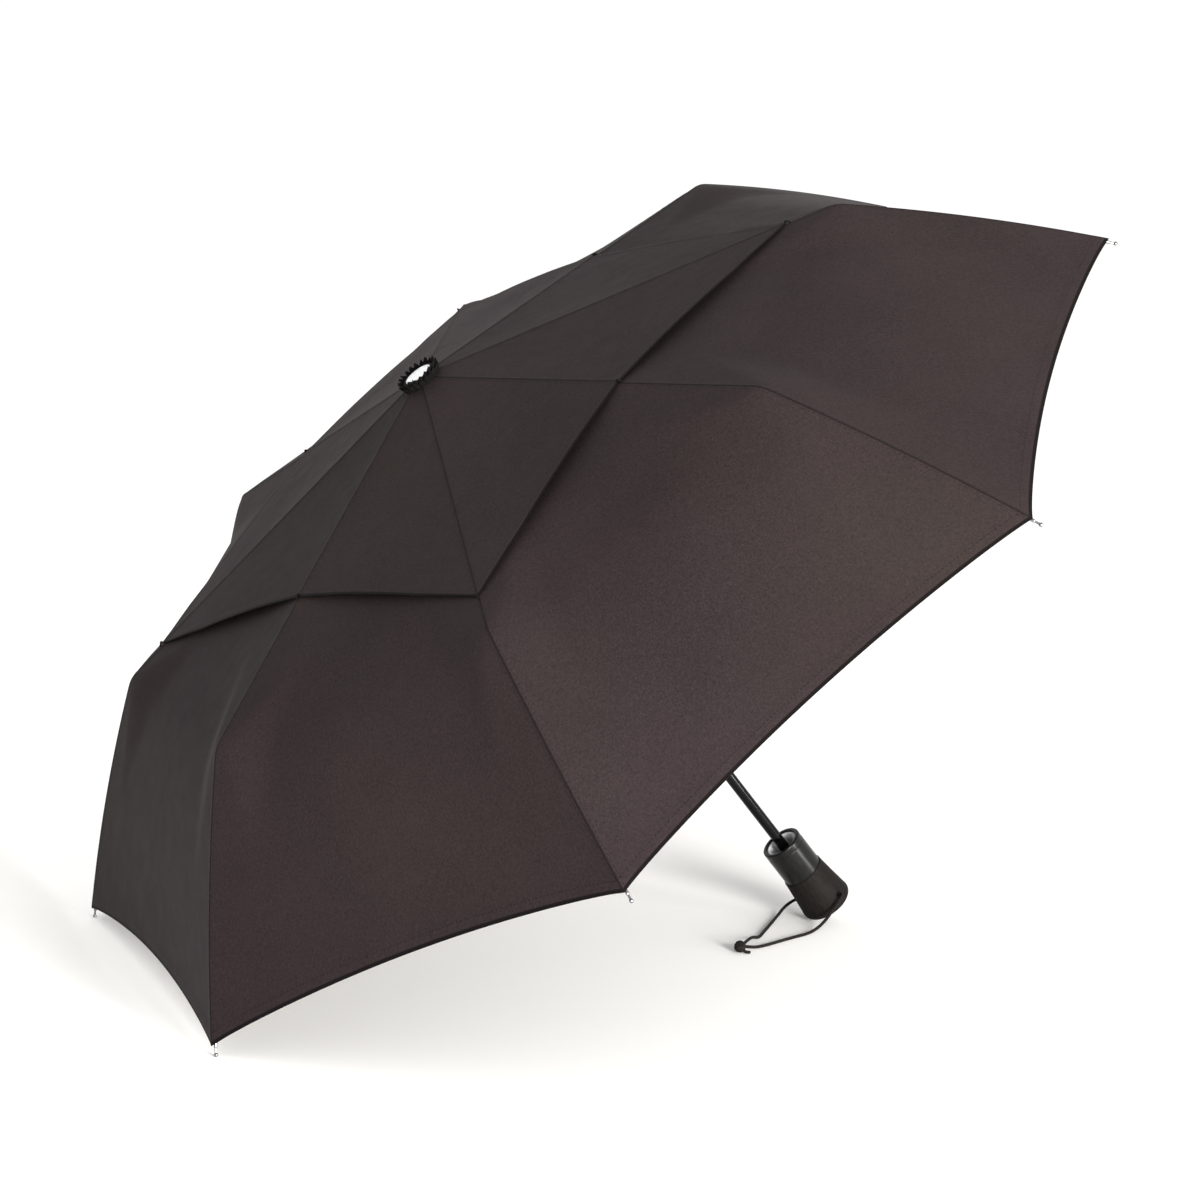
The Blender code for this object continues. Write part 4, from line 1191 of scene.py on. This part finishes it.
def build_grip():
    """A rubber grip that laps over the sleeve's foot and flares to a rounded end, with a cord hole on two sides. Its
    rows are those of the lip, the wall, the rounding and the flat end."""
    columns, rows = 144, 60
    lip_rows, rounding_rows, end_rows = 4, 10, 6
    wall_end = rows - rounding_rows - end_rows
    rounding = 0.0060
    lip = 0.0006
    hole_depth, hole_radius = 0.0028, 0.0028
    groove_depth, groove_radius = 0.0007, 0.0030
    total = HANDLE_SPLIT - HANDLE_END

    def place(i, j):
        azimuth = 2 * math.pi * (i % columns) / columns
        if j <= lip_rows:
            top = HANDLE_SPLIT + 0.0009 * math.cos(azimuth + FULL_SIDE)
            turn = math.pi / 2 * j / lip_rows
            return on_rib(0.0170 + lip * math.sin(turn), top - lip * (1 - math.cos(turn)) + 0.0003, azimuth)
        if j <= wall_end:
            down = (j - lip_rows - 1) / (wall_end - lip_rows - 1)
            height = HANDLE_SPLIT - 2 * lip - (total - rounding - 2 * lip) * down
            radius = grip_radius(height, azimuth)
            for turn in (0, 180):
                hole = math.radians(CORD_HOLE_DEG + turn)
                beside = math.atan2(math.sin(azimuth - hole), math.cos(azimuth - hole)) * radius
                off = math.hypot(beside, height - CORD_HOLE_HEIGHT)
                radius -= hole_depth * math.exp(-((off / hole_radius) ** 4))
                off = math.hypot(beside + 0.0022, height - CORD_HOLE_HEIGHT + 0.0042)
                radius -= groove_depth * math.exp(-((off / groove_radius) ** 2))
            return on_rib(radius, height, azimuth)
        base = grip_radius(HANDLE_END + rounding, azimuth) - rounding
        if j <= wall_end + rounding_rows:
            turn = math.pi / 2 * (j - wall_end) / rounding_rows
            height = HANDLE_END + rounding - rounding * math.sin(turn)
            return on_rib(base + rounding * math.cos(turn), height, azimuth)
        share = (j - wall_end - rounding_rows) / end_rows
        return on_rib(base * (1 - share), HANDLE_END + 0.0004 * ease(share, 0.2, 0.6), azimuth)

    bm = laid_grid(columns, rows, place, lambda i, j: (0.11 * i / columns, 0.05 * j / rows))
    bmesh.ops.remove_doubles(bm, verts=bm.verts, dist=0.000001)
    bmesh.ops.recalc_face_normals(bm, faces=bm.faces)
    shell = piece(bm, "grip_rubber_shell", GRIP_RUBBER, LYING, 50)
    fitted(shell, "handle", "grip_rubber", "grip")


def build_button():
    """A rounded push button, a little dished, standing out of the sleeve."""
    azimuth = math.radians(90)
    height = -0.3060
    foot, face = 0.0132, 0.0184  # radii of its back and its front
    wide, tall = 0.007, 0.010
    bm = bmesh.new()
    bmesh.ops.create_cube(bm, size=1)
    bmesh.ops.scale(bm, vec=(face - foot, wide, tall), verts=bm.verts)
    upright = [e for e in bm.edges if abs(e.verts[0].co.x - e.verts[1].co.x) > 0.001]
    round_off(bm, upright, 0.0026, 8)
    front = [f for f in bm.faces if f.normal.x > 0.9]
    bmesh.ops.inset_region(bm, faces=front, thickness=0.0012, use_even_offset=True)
    bmesh.ops.translate(bm, vec=(-0.0003, 0, 0), verts=list({v for f in front for v in f.verts}))
    bm.normal_update()
    rim = [e for e in bm.edges if min(v.co.x for v in e.verts) > (face - foot) / 2 - 0.00001]
    round_off(bm, rim, 0.0004, 3)
    place = Matrix.Translation(on_rib((face + foot) / 2, height, azimuth)) @ Matrix.Rotation(azimuth, 4, "Z")
    knob = piece(bm, "push_button_cap", SLEEVE_PLASTIC, LYING @ place)
    fitted(knob, "button", "handle_plastic", "push_button")


build_handle()


# ---- floor and light ----


def build_stage():
    """A pale floor under a white sky, with a low lamp in front and a small one beside the handle."""
    floor_paint = Finish("pale_floor", Roughness=0.9, Specular_IOR_Level=0.1)
    paper = floor_paint.noise(floor_paint.place(), 3.0, 3)
    tone = floor_paint.mixed(paper, colour(0.975, 0.965, 0.935), colour(0.990, 0.985, 0.965))
    floor_paint.feed(Base_Color=tone)
    bm = bmesh.new()
    bmesh.ops.create_grid(bm, x_segments=40, y_segments=40, size=7)
    ground = piece(bm, "floor", floor_paint.material, Matrix.Identity(4))

    world = bpy.data.worlds.new("studio")
    world.use_nodes = True
    background = world.node_tree.nodes["Background"]
    background.inputs["Color"].default_value = colour(1.0, 1.0, 1.0)
    background.inputs["Strength"].default_value = 1.04
    bpy.context.scene.world = world
    bpy.context.scene.view_settings.view_transform = "Standard"

    lights = (
        ("front", (0.5, -3.4, 0.75), (0.0, 0.0, 0.25), 1.2, 270, (1.0, 0.985, 0.96)),
        ("side", (1.76, -1.8, 0.27), (0.2, 0.0, 0.05), 0.36, 24, (1.0, 1.0, 1.0)),
    )
    for name, place, target, metres, watts, tint in lights:
        lamp = bpy.data.lights.new(name, "AREA")
        lamp.size = metres
        lamp.energy = watts
        lamp.color = tint
        holder = bpy.data.objects.new(name, lamp)
        holder.location = place
        holder.rotation_euler = (Vector(target) - Vector(place)).to_track_quat("-Z", "Y").to_euler()
        bpy.context.scene.collection.objects.link(holder)


build_stage()
